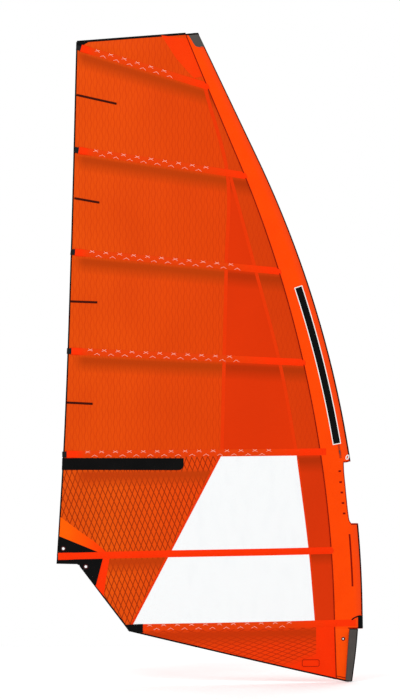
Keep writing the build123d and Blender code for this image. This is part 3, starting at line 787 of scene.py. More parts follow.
# Dark cloth for the painted shade along the sleeve's nose.
NOSE_EDGE_SHADE = woven("nose_edge_shade_cloth", screen(52, 10, 4), screen(40, 8, 4), 0.9, worn=screen(70, 20, 10))
GREY = woven("grey_chafe_cloth", screen(84, 80, 76), screen(66, 63, 61), 0.7, worn=screen(116, 110, 104))
MINI = woven("mini_batten_cloth", screen(66, 14, 6), screen(48, 10, 5), worn=screen(96, 30, 14))
THREAD = woven("pale_thread", screen(255, 208, 190), screen(255, 186, 164), roughness=0.5, pitch=0.001)
WHITE_TAPE = woven("white_tape", screen(244, 244, 240), screen(232, 232, 230))
FILM = clear_film()
PLASTIC = moulded("black_moulding", screen(10, 10, 11), 0.6, 0.15, grain=300.0)
PUSHER = moulded("pusher_moulding", screen(150, 152, 150))
RING = moulded("ring_metal", screen(66, 14, 14), 0.5, 0.25, metallic=0.2)
STEEL = moulded("stainless", screen(196, 196, 194), 0.3, metallic=1.0)
NYLON = moulded("sheave_nylon", screen(38, 38, 40), 0.38)
CARBON = moulded("batten_composite", screen(28, 28, 30), 0.4)
ZIP = moulded("zip_metal", screen(70, 70, 72), 0.32, metallic=0.9)

# ---- the panels

UNDER_POCKET = 0.021


def pocket_edge(number, side):
    """A batten pocket's upper or lower edge as a level z(x), a little inside the pocket."""
    return lambda x: line_z(BATTENS[number - 1], x) + side * UNDER_POCKET


def laid(*grids):
    """A surface with grids of (x, z) laid on the body of the sail."""
    surface = Surface()
    for rows in grids:
        surface.grid([[on_cloth(x, z) for x, z in row] for row in rows])
    return surface


def panels():
    top = laid(four_sided(leech_x, seam_x, pocket_edge(1, 1), head_z, 4.5))
    sheet("head_panel_cloth", top, SCRIM, ["body_panel_1"])
    mids, luffs = [], []
    for number in range(2, 6):
        low, high = pocket_edge(number, 1), pocket_edge(number - 1, -1)
        guess = line_z(BATTENS[number - 1], -1.0) + 0.3
        body = laid(four_sided(leech_x, upright_x, low, high, guess))
        sheet(f"body_cloth_{number}", body, SCRIM, [f"body_panel_{number}"])
        front_side = upright_x
        if number > 2:
            mids.append(four_sided(upright_x, diagonal_x, low, high, guess))
            front_side = diagonal_x
        luffs.append(four_sided(front_side, seam_x, low, high, guess))
    sheet("middle_cloth", laid(*mids), MID, ["mid_panels"], flat=(0.56, 2.22))
    sheet("luff_cloth_panels", laid(*luffs), LUFF, ["luff_panels"], flat=(0.42, 3.0))


PATCH_REAR_Z = 0.729
PATCH_FRONT = (-2.046, 0.601)
PATCH_CROSSING = (-2.080, 0.337)
PATCH_NOTCH = (-2.074, 0.344)
PATCH_HEAD = (-2.019, 0.556)
UPPER_RING = (-2.333, 0.630, 0.0125)
LOWER_RING = (-2.155, 0.488, 0.0125)


def lower_panels():
    above, under = pocket_edge(6, 1), pocket_edge(6, -1)
    top, base = pocket_edge(5, -1), pocket_edge(7, 1)
    rear_low = meeting(window_rear_x, above, 0.6)
    rear_high = meeting(window_rear_x, top, 1.3)
    leech_high = meeting(leech_x, top, 1.3)
    tucked = PATCH_REAR_Z - 0.010
    front = (PATCH_FRONT[0] - 0.016, above(PATCH_FRONT[0] - 0.016))
    low = [(leech_x(tucked), tucked), front, *run_across(above, front[0], rear_low[0])[1:-1], rear_low]
    high = run_across(top, leech_high[0], rear_high[0])
    left = run_up(leech_x, tucked, leech_high[1])
    right = run_up(window_rear_x, rear_low[1], rear_high[1])
    mesh = laid(coons(low, high, left, right))
    sheet("upper_leech_mesh", mesh, MESH, ["leech_panel_upper"])

    corner = (-1.843, 0.028)
    rear_low = meeting(window_rear_x, base, 0.1)
    rear_high = meeting(window_rear_x, under, 0.5)
    head = (PATCH_HEAD[0] - 0.010, under(PATCH_HEAD[0] - 0.010))
    low = run_across(base, corner[0], rear_low[0])
    high = run_across(under, head[0], rear_high[0])
    right = run_up(window_rear_x, rear_low[1], rear_high[1])
    notch = (PATCH_NOTCH[0] - 0.010, PATCH_NOTCH[1] + 0.010)
    mesh = laid(coons(low, high, [corner, PATCH_CROSSING, notch, head], right))
    sheet("lower_leech_mesh", mesh, MESH, ["leech_panel_lower"])

    strips = []
    for place, low, high, guess in (("upper", above, top, 1.0), ("lower", base, under, 0.3)):
        film = laid(four_sided(window_rear_x, window_front_x, low, high, guess))
        sheet(f"{place}_window_film", film, FILM, [f"window_{place}"], FILM_THICK)
        strips.append(four_sided(window_front_x, seam_x, low, high, guess))
    beside = ["window_luff_panels"]
    sheet("window_front_strips", laid(*strips), BESIDE_WINDOW, beside, flat=(0.2, 1.28))

    above_foot = pocket_edge(7, -1)
    start = FOOT_LEECH[0]
    low = run_across(foot_z, start, TACK_SEAM_X)
    high = run_across(above_foot, start, TACK_SEAM_X)
    mesh = laid(coons(low, high, [low[0], high[0]], [low[-1], high[-1]]))
    sheet("foot_mesh", mesh, FOOT_MESH, ["foot_panel"])
    tack = laid(four_sided(lambda z: TACK_SEAM_X, seam_x, foot_z, above_foot, -0.2))
    sheet("tack_cloth", tack, TACK, ["tack_panel"])


def clew():
    """Thick black corner patches above and below the sixth batten."""
    above, under = pocket_edge(6, 1), pocket_edge(6, -1)
    upper = [
        (leech_x(PATCH_REAR_Z), PATCH_REAR_Z),
        (leech_x(0.59), above(-2.37)),
        (PATCH_FRONT[0], above(PATCH_FRONT[0])),
    ]
    lower = [
        (leech_x(0.54), under(-2.38)),
        CLEW_TOP,
        CLEW_SHELF,
        CLEW_STEP,
        PATCH_CROSSING,
        PATCH_NOTCH,
        (PATCH_HEAD[0], under(PATCH_HEAD[0])),
    ]
    surface = Surface().outline(upper, on_cloth, 0.03, [UPPER_RING])
    surface.outline(lower, on_cloth, 0.03, [LOWER_RING])
    sheet("clew_patch_cloth", surface, BLACK, ["clew_patches"], 0.0035, flat=(0.36, 0.40))


# ---- pockets and sleeve

STITCH_RUNS = {
    1: (-2.060, -1.450),
    2: (-2.075, -1.175),
    3: (-2.106, -0.950),
    4: (-2.120, -0.950),
    5: (-2.140, -0.680),
    7: (-1.650, -0.510),
}
POCKET_HALF = 0.027
POCKET_CUT = 0.115
POCKET_EDGE = 0.0012
POCKET_RIDGE = 0.0044
MOUTH_HALF = 0.0285
MOUTH_HEIGHT = 0.0092
MOUTH_START = 0.030
TENSIONER_END = 0.068
POCKET_STARTS = {6: 0.003, 7: 0.0724}


def along_batten(number, distance):
    """A point on a batten's line and the line's direction there."""
    points = BATTENS[number - 1]
    for start, end in zip(points, points[1:]):
        long = dist(start, end)
        if distance <= long or end is points[-1]:
            direction = ((end[0] - start[0]) / long, (end[1] - start[1]) / long)
            return (start[0] + direction[0] * distance, start[1] + direction[1] * distance), direction
        distance -= long


def seam_distance(number, across=0.0):
    """How far along a batten's line the sleeve seam is, off to one side of the line."""
    low, high = 0.5, 2.6
    for _ in range(30):
        middle = (low + high) / 2
        (x, z), (dx, dz) = along_batten(number, middle)
        x, z = x - dz * across, z + dx * across
        low, high = (middle, high) if x < seam_x(z) else (low, middle)
    return low


def pocket_out(number, distance, across):
    """Half the pocket's thickness: a low ridge over the batten, full over the tensioner."""
    share = min(1.0, abs(across) / POCKET_HALF)
    ridge = POCKET_EDGE + POCKET_RIDGE * (1 - share**2) ** 1.5
    if number == len(BATTENS):
        return ridge
    wide = MOUTH_HEIGHT * (1 - min(1.0, abs(across) / MOUTH_HALF) ** 14)
    settle = ease(distance, TENSIONER_END, 0.125)
    ridge = max(POCKET_EDGE, wide + (ridge - wide) * settle)
    end = seam_distance(number) - distance
    return POCKET_EDGE + (ridge - POCKET_EDGE) * (0.85 + 0.15 * ease(end, 0.0, 0.05))


def on_pocket(number, distance, across, side, out=0.0):
    (x, z), (dx, dz) = along_batten(number, distance)
    x, z = x - dz * across, z + dx * across
    return on_cloth(x, z) + Vector((0, side * (pocket_out(number, distance, across) + out), 0))


def pocket_cloth(number):
    """Bright at both ends of the pocket and nearer the panel's tone along the stitched run."""
    bright, plain = screen(250, 50, 0), screen(224, 62, 4)
    if number not in STITCH_RUNS:
        return woven(f"pocket_cloth_{number}", bright, screen(243, 46, 0))
    first, last = STITCH_RUNS[number]
    spread = [(first - 0.09, first - 0.01, plain), (last - 0.10, last + 0.25, bright)]
    return woven(f"pocket_cloth_{number}", bright, screen(243, 46, 0), spread=spread)


def pockets():
    steps = 14
    for number in range(1, len(BATTENS) + 1):
        start = POCKET_STARTS.get(number, MOUTH_START)
        count = ceil((seam_distance(number) - start) / 0.03)
        rows = []
        for k in range(count + 1):
            share = k / count
            distance = start + (seam_distance(number) - start) * share
            mouth = 1 - ease(distance, TENSIONER_END, 0.11) if number < len(BATTENS) else 0.0
            half = POCKET_HALF + (MOUTH_HALF - POCKET_HALF) * mouth
            row = []
            for side in (-1, 1):
                for i in range(steps + 1):
                    across = half * (2 * i / steps - 1) * -side
                    end = seam_distance(number, across) + 0.016
                    row.append(on_pocket(number, start + (end - start) * share, across, side))
            rows.append(row)
        surface = Surface().grid(rows, wrap=True)
        name, cloth, area = f"pocket_{number}", pocket_cloth(number), surface.area()
        mesh = surface.solid(name, 0.0, 0.0005)
        piece = finished(name, mesh, cloth, [f"batten_pocket_{number}"])
        SHEETS[name] = (piece, (POCKET_CUT, area / POCKET_CUT * 1.02), area)
        TRIMS[name] = []


STITCH_PITCH = 0.110
STITCH_SIZES = {1: (0.038, 0.009), -1: (0.046, 0.013)}
STITCH_THREAD = 0.0024
STITCH_ROW = 0.0135


def chevron(number, middle, row, side):
    """Two crossing legs of thread; those of the upper row run on past their crossing."""
    wide, tall = STITCH_SIZES[row]
    over = 0.80 if row == 1 else 0.08
    legs = []
    for way in (-1, 1):
        lines = []
        for edge in (-1, 1):
            line = []
            for step in range(5):
                reach = -1 + (1 + over) * step / 4
                rise = tall * reach + edge * STITCH_THREAD / 2
                across = row * STITCH_ROW + tall / 2 + rise
                along = middle + way * reach * wide / 2
                line.append(on_pocket(number, along, across, side, 0.0002 * (way + 1)))
            lines.append(line)
        legs.append(facing(lines, side))
    return legs


def stitches():
    """Wide chevrons of pale thread that hold each pocket's two rows."""
    for number, (first_x, last_x) in STITCH_RUNS.items():
        leech = BATTENS[number - 1][0][0]
        surface = Surface()
        for row, shift in ((1, 0.0), (-1, STITCH_PITCH / 2)):
            distance = first_x - leech + shift
            while distance < last_x - leech:
                for side in (-1, 1):
                    for leg in chevron(number, distance, row, side):
                        surface.grid(leg)
                distance += STITCH_PITCH
        trim(f"stitching_{number}", surface, THREAD, f"pocket_{number}", 0.0008, 0.0003)


def sleeve_row(z_at, share_up):
    """One row round the sleeve, from the seam over the nose and back to the seam."""
    row = []
    sides, nose = 8, 14
    for side in (-1, 1):
        stations = [i / sides for i in range(sides + 1)]
        places = [("side", s) for s in stations] + [("nose", (i + 1) / nose) for i in range(nose)]
        if side == 1:
            places = places[::-1][1:]
        for kind, s in places:
            z = z_at(0.5, share_up)
            for _ in range(6):
                if kind == "side":
                    x = seam_x(z) + (axis_x(z) - seam_x(z)) * s
                else:
                    x = axis_x(z) + nose_radius(z) * sin(pi / 2 * s)
                z = z_at(x, share_up)
            row.append(on_sleeve(x, z, side))
    return row


def in_front_of(row, edge):
    """The stretch of a row that lies in front of edge(z), cut exactly at the edge."""
    ahead = [p.x - edge(p.z) for p in row]
    first = next(k for k, a in enumerate(ahead) if a > 0)
    last = len(row) - 1 - next(k for k, a in enumerate(reversed(ahead)) if a > 0)
    found = row[first : last + 1]
    if first > 0:
        found.insert(0, row[first].lerp(row[first - 1], ahead[first] / (ahead[first] - ahead[first - 1])))
    if last < len(row) - 1:
        found.append(row[last].lerp(row[last + 1], ahead[last] / (ahead[last] - ahead[last + 1])))
    return found


def even_row(row, count):
    return [Vector(p) for p in resampled([tuple(p) for p in row], count)]


def flat_sides(z_low, z_high, edge_at, count):
    """Two flat sides of the sleeve from the seam to a cut edge."""
    surface = Surface()
    for side in (-1, 1):
        rows = []
        for k in range(count + 1):
            row = []
            for i in range(9):
                z = 0.5 * (z_low(-0.1) + z_high(-0.1))
                for _ in range(6):
                    x = seam_x(z) + (edge_at(z) - seam_x(z)) * i / 8
                    z = z_low(x) + (z_high(x) - z_low(x)) * k / count
                row.append(on_sleeve(x, z, side))
            rows.append(row)
        surface.grid(facing(rows, side))
    return surface


opening_edge = through(
    [(-0.119, 1.310), (-0.116, 1.245), (-0.110, 1.180), (-0.076, 0.860), (-0.060, 0.830)]
)
TACK_RING = (-0.123, -0.081, 0.008)
MOUTH_RISE = 0.009


def mouth_rise(x):
    """0 to 1 towards the nose, where the sleeve's lower edge over the boom opening turns up."""
    return ease(x, -0.112, -0.060)


def tongue_edge(z):
    return -0.069 + z * 0.030 / 0.412


def sleeve():
    def upper_z(x, share):
        base = OPENING_TOP + MOUTH_RISE * mouth_rise(x)
        return base + (head_z(x) - base) * share

    def lower_z(x, share):
        return OPENING_BOTTOM * share

    upper = Surface().grid([sleeve_row(upper_z, k / 110) for k in range(111)])
    lower = Surface().grid([sleeve_row(lower_z, k / 28) for k in range(29)])
    opening = flat_sides(lambda x: OPENING_BOTTOM, lambda x: OPENING_TOP, opening_edge, 24)
    for name, surface, node, flat in (
        ("upper_sleeve_cloth", upper, "upper_sleeve", (0.56, 3.75)),
        ("lower_sleeve_cloth", lower, "lower_sleeve", (0.56, 0.83)),
        ("boom_opening_cloth", opening, "boom_opening_panel", (0.36, 0.48)),
    ):
        sheet(name, surface, SLEEVE, [node], flat=flat)
    ends = [seam_x(0.0), tongue_edge(0.0)]
    seam = run_up(seam_x, foot_z(seam_x(-0.393)), 0.0, 12)
    edge = run_up(tongue_edge, foot_z(tongue_edge(-0.414)), 0.0, 12)
    corners = seam[::-1][1:] + edge[:-1] + [(x, 0.0) for x in (ends[1], ends[0])]
    surface = Surface()
    for side in (-1, 1):
        surface.outline(corners, lambda x, z, s=side: on_sleeve(x, z, s), 0.03, [TACK_RING], side)
    sheet("tongue_sides", surface, TONGUE, ["sleeve_tongue"], flat=(0.36, 0.44))


def head_patch():
    """Grey chafe cloth wrapped over the front of the sleeve at the head."""
    foot = 4.585
    rear = through([(-1.233, 4.585), (-1.276, 4.592), (-1.300, 4.614), (-1.320, 4.648), (-1.354, 4.700)])

    def level(x, share):
        return foot + (head_z(x) - foot) * share

    rows = []
    for k in range(13):
        row = [p + outward(p) * 0.0012 for p in sleeve_row(level, k / 12)]
        rows.append(even_row(in_front_of(row, rear), 40))
    patch_cloth = Surface().grid(rows)
    sheet("head_chafe_cloth", patch_cloth, GREY, ["head_patch"], flat=(0.12, 0.20))


def outward(point):
    """Straight out of the sleeve at a point of its skin."""
    z = point.z
    front = axis_x(z)
    if point.x > front:
        return Vector((point.x - front, point.y, 0)).normalized()
    return Vector((0, 1 if point.y > camber_y(seam_x(z), z) * 0.5 else -1, 0))


def cuff():
    """Black cloth round the front of the sleeve's foot, with a piped edge that runs up to it."""

    def level(x, share):
        return 0.002 + (0.094 + 0.012 * ease(x, -0.004, 0.030)) * share

    rows = []
    for k in range(7):
        row = [p + outward(p) * 0.0011 for p in sleeve_row(level, k / 6)]
        rows.append(even_row(in_front_of(row, lambda z: -0.006), 24))
    sheet("cuff_cloth", Surface().grid(rows), BLACK, ["sleeve_cuff"], flat=(0.12, 0.16))
    edge = [(-0.056, 0.070), (-0.040, 0.083), (-0.022, 0.092), (-0.002, 0.099), (0.012, 0.102)]
    piping = both_sides(edge, 0.010, on_sleeve, 0.0012, 2, 0.008)
    trim("cuff_piping", piping, BLACK, "cuff_cloth", 0.0012, 0.0006)
    rows = []
    for height in (0.001, 0.009):
        row = [p + outward(p) * 0.0005 for p in sleeve_row(lambda x, s, h=height: h, 0.0)]
        rows.append(in_front_of(row, lambda z: -0.086))
    hem = Surface().grid(rows)
    trim("sleeve_foot_hem", hem, DARK_SEAM, "lower_sleeve_cloth", 0.0008, 0.0005)


# ---- tack flap, trims


FLAP_REAR = through([(-0.077, -0.002), (-0.107, -0.412)])
FLAP_FRONT = through([(-0.010, -0.002), (-0.026, -0.180), (-0.056, -0.412)])
FLAP_Y = -0.016
FLAP_HALF = 0.022
FLAP_BEND = 0.012
FLAP_TOP, FLAP_FOOT = -0.003, -0.412
FLAP_CELLS = (80, 44)
FLAP_HEM_CELLS = 6
FLAP_SKIN = 0.0014
FLAP_PUFF = 0.0026
PUFF_FRAMES = 24
PUFF_LIMIT = 0.0045


def flap_line(z, around):
    """The flap's middle line at one level: front edge, round the rear, and back to the front."""
    rear, front = FLAP_REAR(z) + 0.004, FLAP_FRONT(z)
    path = [(front, FLAP_Y - FLAP_HALF), (rear + FLAP_BEND, FLAP_Y - FLAP_HALF)]
    for step in range(1, 6):
        angle = radians(18 * step)
        x = rear + FLAP_BEND * (1 - sin(angle))
        path.append((x, FLAP_Y - FLAP_HALF + FLAP_BEND * (1 - cos(angle))))
    path += [(x, 2 * FLAP_Y - y) for x, y in reversed(path)]
    return [Vector((x, y, z)) for x, y in resampled(path, around)]


def puffed(mesh, held):
    """Padding pressed outwards by cloth simulation; held vertices stay and no point moves far."""
    start = [v.co.copy() for v in mesh.vertices]
    pad = bpy.data.objects.new("padding", mesh)
    bpy.context.scene.collection.objects.link(pad)
    pad.vertex_groups.new(name="held").add(held, 1.0, "REPLACE")
    cloth = pad.modifiers.new("cloth", "CLOTH")
    cloth.settings.quality = 6
    cloth.settings.mass = 0.15
    cloth.settings.tension_stiffness = 12
    cloth.settings.compression_stiffness = 12
    cloth.settings.bending_stiffness = 0.4
    cloth.settings.vertex_group_mass = "held"
    cloth.settings.use_pressure = True
    cloth.settings.uniform_pressure_force = 5.0
    cloth.settings.effector_weights.gravity = 0.0
    cloth.point_cache.frame_end = PUFF_FRAMES
    for moment in range(1, PUFF_FRAMES + 1):
        bpy.context.scene.frame_set(moment)
    moved = pad.evaluated_get(bpy.context.evaluated_depsgraph_get()).to_mesh()
    for vertex, first, last in zip(mesh.vertices, start, [v.co.copy() for v in moved.vertices]):
        step = last - first
        vertex.co = first + step * min(1.0, PUFF_LIMIT / max(step.length, 1e-9))
    bpy.data.objects.remove(pad)
    bpy.context.scene.frame_set(1)


def tack_flap():
    """A padded flap folded round the back of the pulley, open to the front, with piped edges."""
    count, around = FLAP_CELLS
    heights = [FLAP_FOOT + (FLAP_TOP - FLAP_FOOT) * k / count for k in range(count + 1)]
    grid = [flap_line(z, around) for z in heights]
    outer, inner = [], []
    for j, row in enumerate(grid):
        above, below = grid[min(j + 1, count)], grid[max(j - 1, 0)]
        for i, point in enumerate(row):
            along = row[min(i + 1, around)] - row[max(i - 1, 0)]
            normal = along.cross(above[i] - below[i]).normalized()
            inward = min(i, around - i, j, count - j, FLAP_HEM_CELLS) / FLAP_HEM_CELLS
            puff = FLAP_SKIN + FLAP_PUFF * sqrt(ease(inward, 0.0, 1.0))
            outer.append(point + normal * puff)
            inner.append(point - normal * FLAP_SKIN)
    wide, total = around + 1, (around + 1) * (count + 1)
    faces = []
    for j in range(count):
        for i in range(around):
            a = j * wide + i
            faces.append((a, a + 1, a + 1 + wide, a + wide))
            faces.append((a + total, a + wide + total, a + 1 + wide + total, a + 1 + total))
    rim = [(0, i) for i in range(around)] + [(j, around) for j in range(count)]
    rim += [(count, i) for i in range(around, 0, -1)] + [(j, 0) for j in range(count, 0, -1)]
    rim = [j * wide + i for j, i in rim]
    for a, b in zip(rim, rim[1:] + rim[:1]):
        faces.append((b, a, a + total, b + total))
    mesh = bpy.data.meshes.new("tack_flap")
    mesh.from_pydata([list(p) for p in outer + inner], [], faces)
    mesh.validate()
    puffed(mesh, rim + list(range(total, 2 * total)))
    piece = finished("tack_flap", mesh, GREY, ["tack_fairing"], sharp=80)
    edges = Surface()
    for column in (0, around):
        edges.tube([row[column] for row in grid], 0.0046, 8)
    edges.tube(grid[count], 0.0030, 8)
    edges.tube(grid[0], 0.0034, 8)
    finished("flap_piping", edges.closed("flap_piping"), BLACK)


BINDING_PLY = 0.0011


def bindings():
    """Black tape folded over the leech, head and foot."""
    leech = run_up(leech_x, CLEW_TOP[1], HEAD_LEECH[1] - 0.003, 120)
    head = run_across(head_z, HEAD_LEECH[0], seam_x(SEAM_HEAD_Z) - 0.002, 40)
    foot = run_across(foot_line(0.004), FOOT_LEECH[0], seam_x(SEAM_FOOT_Z), 60)
    for name, path, width, on in (
        ("leech_binding", leech, 0.012, "upper_leech_mesh"),
        ("head_binding", head, 0.018, "head_panel_cloth"),
        ("foot_binding", foot, 0.012, "foot_mesh"),
        ("clew_binding", [CLEW_STEP, FOOT_LEECH], 0.012, "lower_leech_mesh"),
    ):
        folded = Surface().grid(band(path, width, on_cloth))
        trim(name, folded, BLACK, on, BINDING_PLY, BINDING_PLY)


def end_bindings():
    """The head and foot bindings carried on round the sleeve and along the tongue."""
    rows = []
    for drop in (0.013, 0.007, 0.001):
        row = sleeve_row(lambda x, share, d=drop: head_z(x) - d, 0.0)
        rows.append([p + outward(p) * 0.0022 for p in row])
    folded = Surface().grid(rows)
    trim("sleeve_head_binding", folded, BLACK, "upper_sleeve_cloth", 0.0009, 0.0009)
    foot = run_across(foot_line(0.005), seam_x(-0.40) - 0.002, tongue_edge(-0.41) - 0.002, 12)
    folded = both_sides(foot, 0.012, on_sleeve, 0.0008, 1, 0.012)
    trim("tongue_foot_binding", folded, BLACK, "tongue_sides", 0.0007, 0.0007)


WINDOW_TAPE_TOP = 1.34
SEAM_GAP = 0.028


def tapes():
    """Seam tapes on both faces of the cloth, and the dark seam along the sleeve."""

    def height(line, number, edge, guess):
        return meeting(line, pocket_edge(number, edge), guess)[1]

    for name, line, low, high, shift, count, width, on in (
        ("upright", upright_x, (5, 1, 1.4), (1, -1, 4.3), 0.0, 90, 0.028, "body_cloth_3"),
        ("diagonal", diagonal_x, (5, 1, 1.4), (2, -1, 3.5), 0.0, 70, 0.026, "luff_cloth_panels"),
        ("window_rear", window_rear_x, (7, 1, 0.1), (5, -1, 1.3), -0.004, 50, 0.018, "upper_leech_mesh"),
        ("window_front", window_front_x, (7, 1, 0.1), None, 0.006, 50, 0.014, "window_front_strips"),
    ):
        top = height(line, *high) if high else WINDOW_TAPE_TOP
        path = [(x + shift, z) for x, z in run_up(line, height(line, *low), top, count)]
        tape = both_sides(path, width, cloth_face, CLOTH / 2)
        trim(f"{name}_tape", tape, TAPE, on)

    crossings = [line_z(points, seam_x(points[-1][1])) for points in BATTENS[4:]]
    heights = [head_z(seam_x(SEAM_HEAD_Z)), *crossings, foot_z(seam_x(SEAM_FOOT_Z))]
    surface = Surface()
    for upper, lower in zip(heights, heights[1:]):
        top = upper - (SEAM_GAP if upper in crossings else 0.0)
        base = lower + (SEAM_GAP if lower in crossings else 0.0)
        path = run_up(seam_x, base, top, 60)
        for side in (-1, 1):
            rows = band(path, 0.007, lambda x, z, s=side: cloth_face(x, z, s, 0.0022), 1)
            surface.grid(facing(rows, side))
    trim("sleeve_seam", surface, DARK_SEAM, "upper_sleeve_cloth", 0.0012, 0.001)


def luff_line():
    """A dark strip round the very front of the sleeve: painted shade along the edge of the round nose."""
    surface = Surface()
    for low, high in ((0.11, OPENING_BOTTOM - 0.004), (OPENING_TOP + 0.014, 4.60)):
        rows = []
        for share in range(-4, 5):
            row = []
            count = ceil((high - low) / 0.04)
            for k in range(count + 1):
                z = low + (high - low) * k / count
                reach = nose_radius(z) + 0.0004
                angle = radians(12.5 * share)
                row.append(Vector((axis_x(z) + reach * cos(angle), reach * sin(angle), z)))
            rows.append(row)
        surface.grid(rows[::-1])
    trim("luff_edge_shade", surface, NOSE_EDGE_SHADE, "upper_sleeve_cloth", 0.0009, 0.0006)


SLEEVE_BANDS = {5: 0.050, 7: 0.172}


def sleeve_bands():
    """The pockets' cloth carried on over the sleeve seam."""
    for number, reach in SLEEVE_BANDS.items():
        (x0, z0), (x1, z1) = BATTENS[number - 1][-2:]
        slope = (z1 - z0) / (x1 - x0)
        start = seam_x(z1) - 0.004
        path = [(x, z1 + slope * (x - x1)) for x in (start, start + reach / 2, start + reach)]
        strip = both_sides(path, 0.052, on_sleeve, 0.0006, 4, 0.012)
        on = "lower_sleeve_cloth" if number > 5 else "upper_sleeve_cloth"
        trim(f"sleeve_band_{number}", strip, BAND, on)


def plain_strip():
    """A plain black strip under the fifth batten at the leech, with one rounded corner."""
    left, right, top, base = -2.342, -1.382, 1.346, 1.251
    round_by = 0.042
    corners = [(left, top), (left - 0.003, base)]
    for step in range(7):
        angle = radians(-90 + 15 * step)
        x = right - round_by + round_by * cos(angle)
        corners.append((x, base + round_by + round_by * sin(angle)))
    corners.append((right, top))
    patch("plain_black_strip", corners, BLACK, "upper_leech_mesh", step=0.04)


def patch(name, corners, material, on, place=cloth_face, out=0.0008, step=0.03):
    """A flat patch on both faces, from its outline."""
    surface = Surface()
    for side in (-1, 1):
        surface.outline(corners, lambda x, z, s=side: place(x, z, s, out), step, side=side)
    trim(name, surface, material, on, 0.0004, 0.0004)


def over_housing(x, z, side, out):
    """The cloth's face with a raised flat where the lowest tensioner's housing lies under it."""
    rise = ease(z, -0.035, -0.019) * ease(0.041 - z, 0.0, 0.009)
    return cloth_face(x, z, side, 0.0014 + out * rise)


def patches():
    head = [(-1.560, 4.684), (-1.440, 4.500), (-1.352, 4.400), (-1.300, 4.345), (seam_x(4.36), 4.36)]
    head += [(seam_x(z) - 0.003, z) for z in (4.45, 4.55, 4.66)]
    patch("head_corner_patch", head, BRIGHT, "head_panel_cloth")
    above = pocket_edge(6, 1)
    rear = leech_x(PATCH_REAR_Z) + 0.004
    upper_band = [
        (rear, PATCH_REAR_Z - 0.006),
        (PATCH_FRONT[0] - 0.012, PATCH_FRONT[1] - 0.002),
        (-1.990, above(-1.990)),
        (-2.084, 0.684),
        (-2.194, 0.760),
        (leech_x(0.881) + 0.004, 0.881),
    ]
    patch("clew_upper_band", upper_band, CLEW_BAND, "upper_leech_mesh", out=0.0009)
    under = pocket_edge(6, -1)
    lower_band = [
        (-2.080, 0.340),
        (-2.012, 0.256),
        (-1.998, 0.372),
        (-1.966, under(-1.966)),
        (PATCH_HEAD[0] - 0.008, under(PATCH_HEAD[0])),
        (PATCH_NOTCH[0] - 0.008, PATCH_NOTCH[1]),
    ]
    patch("clew_lower_band", lower_band, BAND, "lower_leech_mesh", out=0.0009)
    cap = [(-2.229, 4.633), (-2.228, 4.609), (-2.190, 4.599), (-2.120, 4.640)]
    patch("head_leech_patch", cap, BLACK, "head_panel_cloth", out=0.0026)
    cap = [(-1.843, 0.030), (-1.808, -0.020), (-1.740, -0.035), (-1.704, -0.030), (-1.704, 0.037)]
    patch("foot_leech_patch", cap, BLACK, "foot_mesh", over_housing, 0.0062, step=0.010)


BADGE_RIM = [
    (-0.440, -0.243),
    (-0.320, -0.243),
    (-0.313, -0.250),
    (-0.313, -0.289),
    (-0.320, -0.296),
    (-0.440, -0.296),
    (-0.447, -0.289),
    (-0.447, -0.250),
    (-0.440, -0.243),
    (-0.430, -0.243),
]
BOOM_MARKS = [(-0.150, 1.243), (-0.143, 1.156), (-0.133, 1.074), (-0.124, 0.991), (-0.115, 0.909)]


def marks():
    """An empty rounded frame at the tack, the tongue's hem and five boom-height marks."""
    badge = both_sides(BADGE_RIM, 0.005, cloth_face, 0.0012, 1, 0.012)
    trim("plain_badge", badge, FAINT, "tack_cloth", 0.0004, 0.0004)
    hem = run_across(foot_line(0.026), seam_x(-0.37) + 0.004, tongue_edge(-0.39) - 0.004, 12)
    hem = both_sides(hem, 0.006, on_sleeve, 0.0008, 1, 0.012)
    trim("tongue_hem", hem, DARK_SEAM, "tongue_sides", 0.0005, 0.0005)
    for k, (x, z) in enumerate(BOOM_MARKS):
        mark = [(x + 0.010 * i, z + 0.007 * j) for i, j in ((-1, 1), (-1, -1), (1, -1), (1, 1))]
        name, on = f"boom_mark_{k + 1}", "boom_opening_cloth"
        patch(name, mark, DARK_SEAM, on, on_sleeve, step=0.02)


def stripes():
    """Plain stripes along the sleeve."""
    for name, low, high, behind, width, material, out in (
        ("pale_stripe", 1.455, 2.700, 0.086, 0.066, WHITE_TAPE, 0.0007),
        ("black_stripe", 1.462, 2.693, 0.086, 0.052, BLACK, 0.0011),
        ("lower_stripe", 0.334, 0.746, 0.076, 0.013, DARK_SEAM, 0.0008),
    ):
        path = run_up(lambda z, b=behind: luff_x(z) - b, low, high, 60)
        on = "lower_sleeve_cloth" if high < 1 else "upper_sleeve_cloth"
        stripe = both_sides(path, width, on_sleeve, out, 4)
        trim(name, stripe, material, on, 0.0003, 0.0003)


def opening_trim():
    """Dark edging round the boom opening and along the tongue."""
    opening = run_up(opening_edge, OPENING_BOTTOM + 0.001, OPENING_TOP - 0.001, 40)
    for name, path, on in (
        ("boom_opening_binding", opening, "boom_opening_cloth"),
        ("tongue_binding", run_up(tongue_edge, -0.412, -0.001, 30), "tongue_sides"),
    ):
        binding = both_sides([(x - 0.003, z) for x, z in path], 0.007, on_sleeve, 0.0, 1, 0.015)
        trim(name, binding, DARK_SEAM, on, 0.0009, 0.0009)
    for name, level, lift, on in (
        ("opening_top_hem", OPENING_TOP + 0.005, MOUTH_RISE, "upper_sleeve_cloth"),
        ("opening_foot_hem", OPENING_BOTTOM - 0.005, 0.0, "lower_sleeve_cloth"),
    ):
        rows = []
        for shift in (-0.0045, 0.0045):
            row = sleeve_row(lambda x, share: level + shift + lift * mouth_rise(x), 0.0)
            row = [p + outward(p) * 0.0004 for p in row]
            rows.append(in_front_of(row, lambda z: opening_edge(level) - 0.004))
        trim(name, Surface().grid(rows), DARK_SEAM, on, 0.0009, 0.0006)


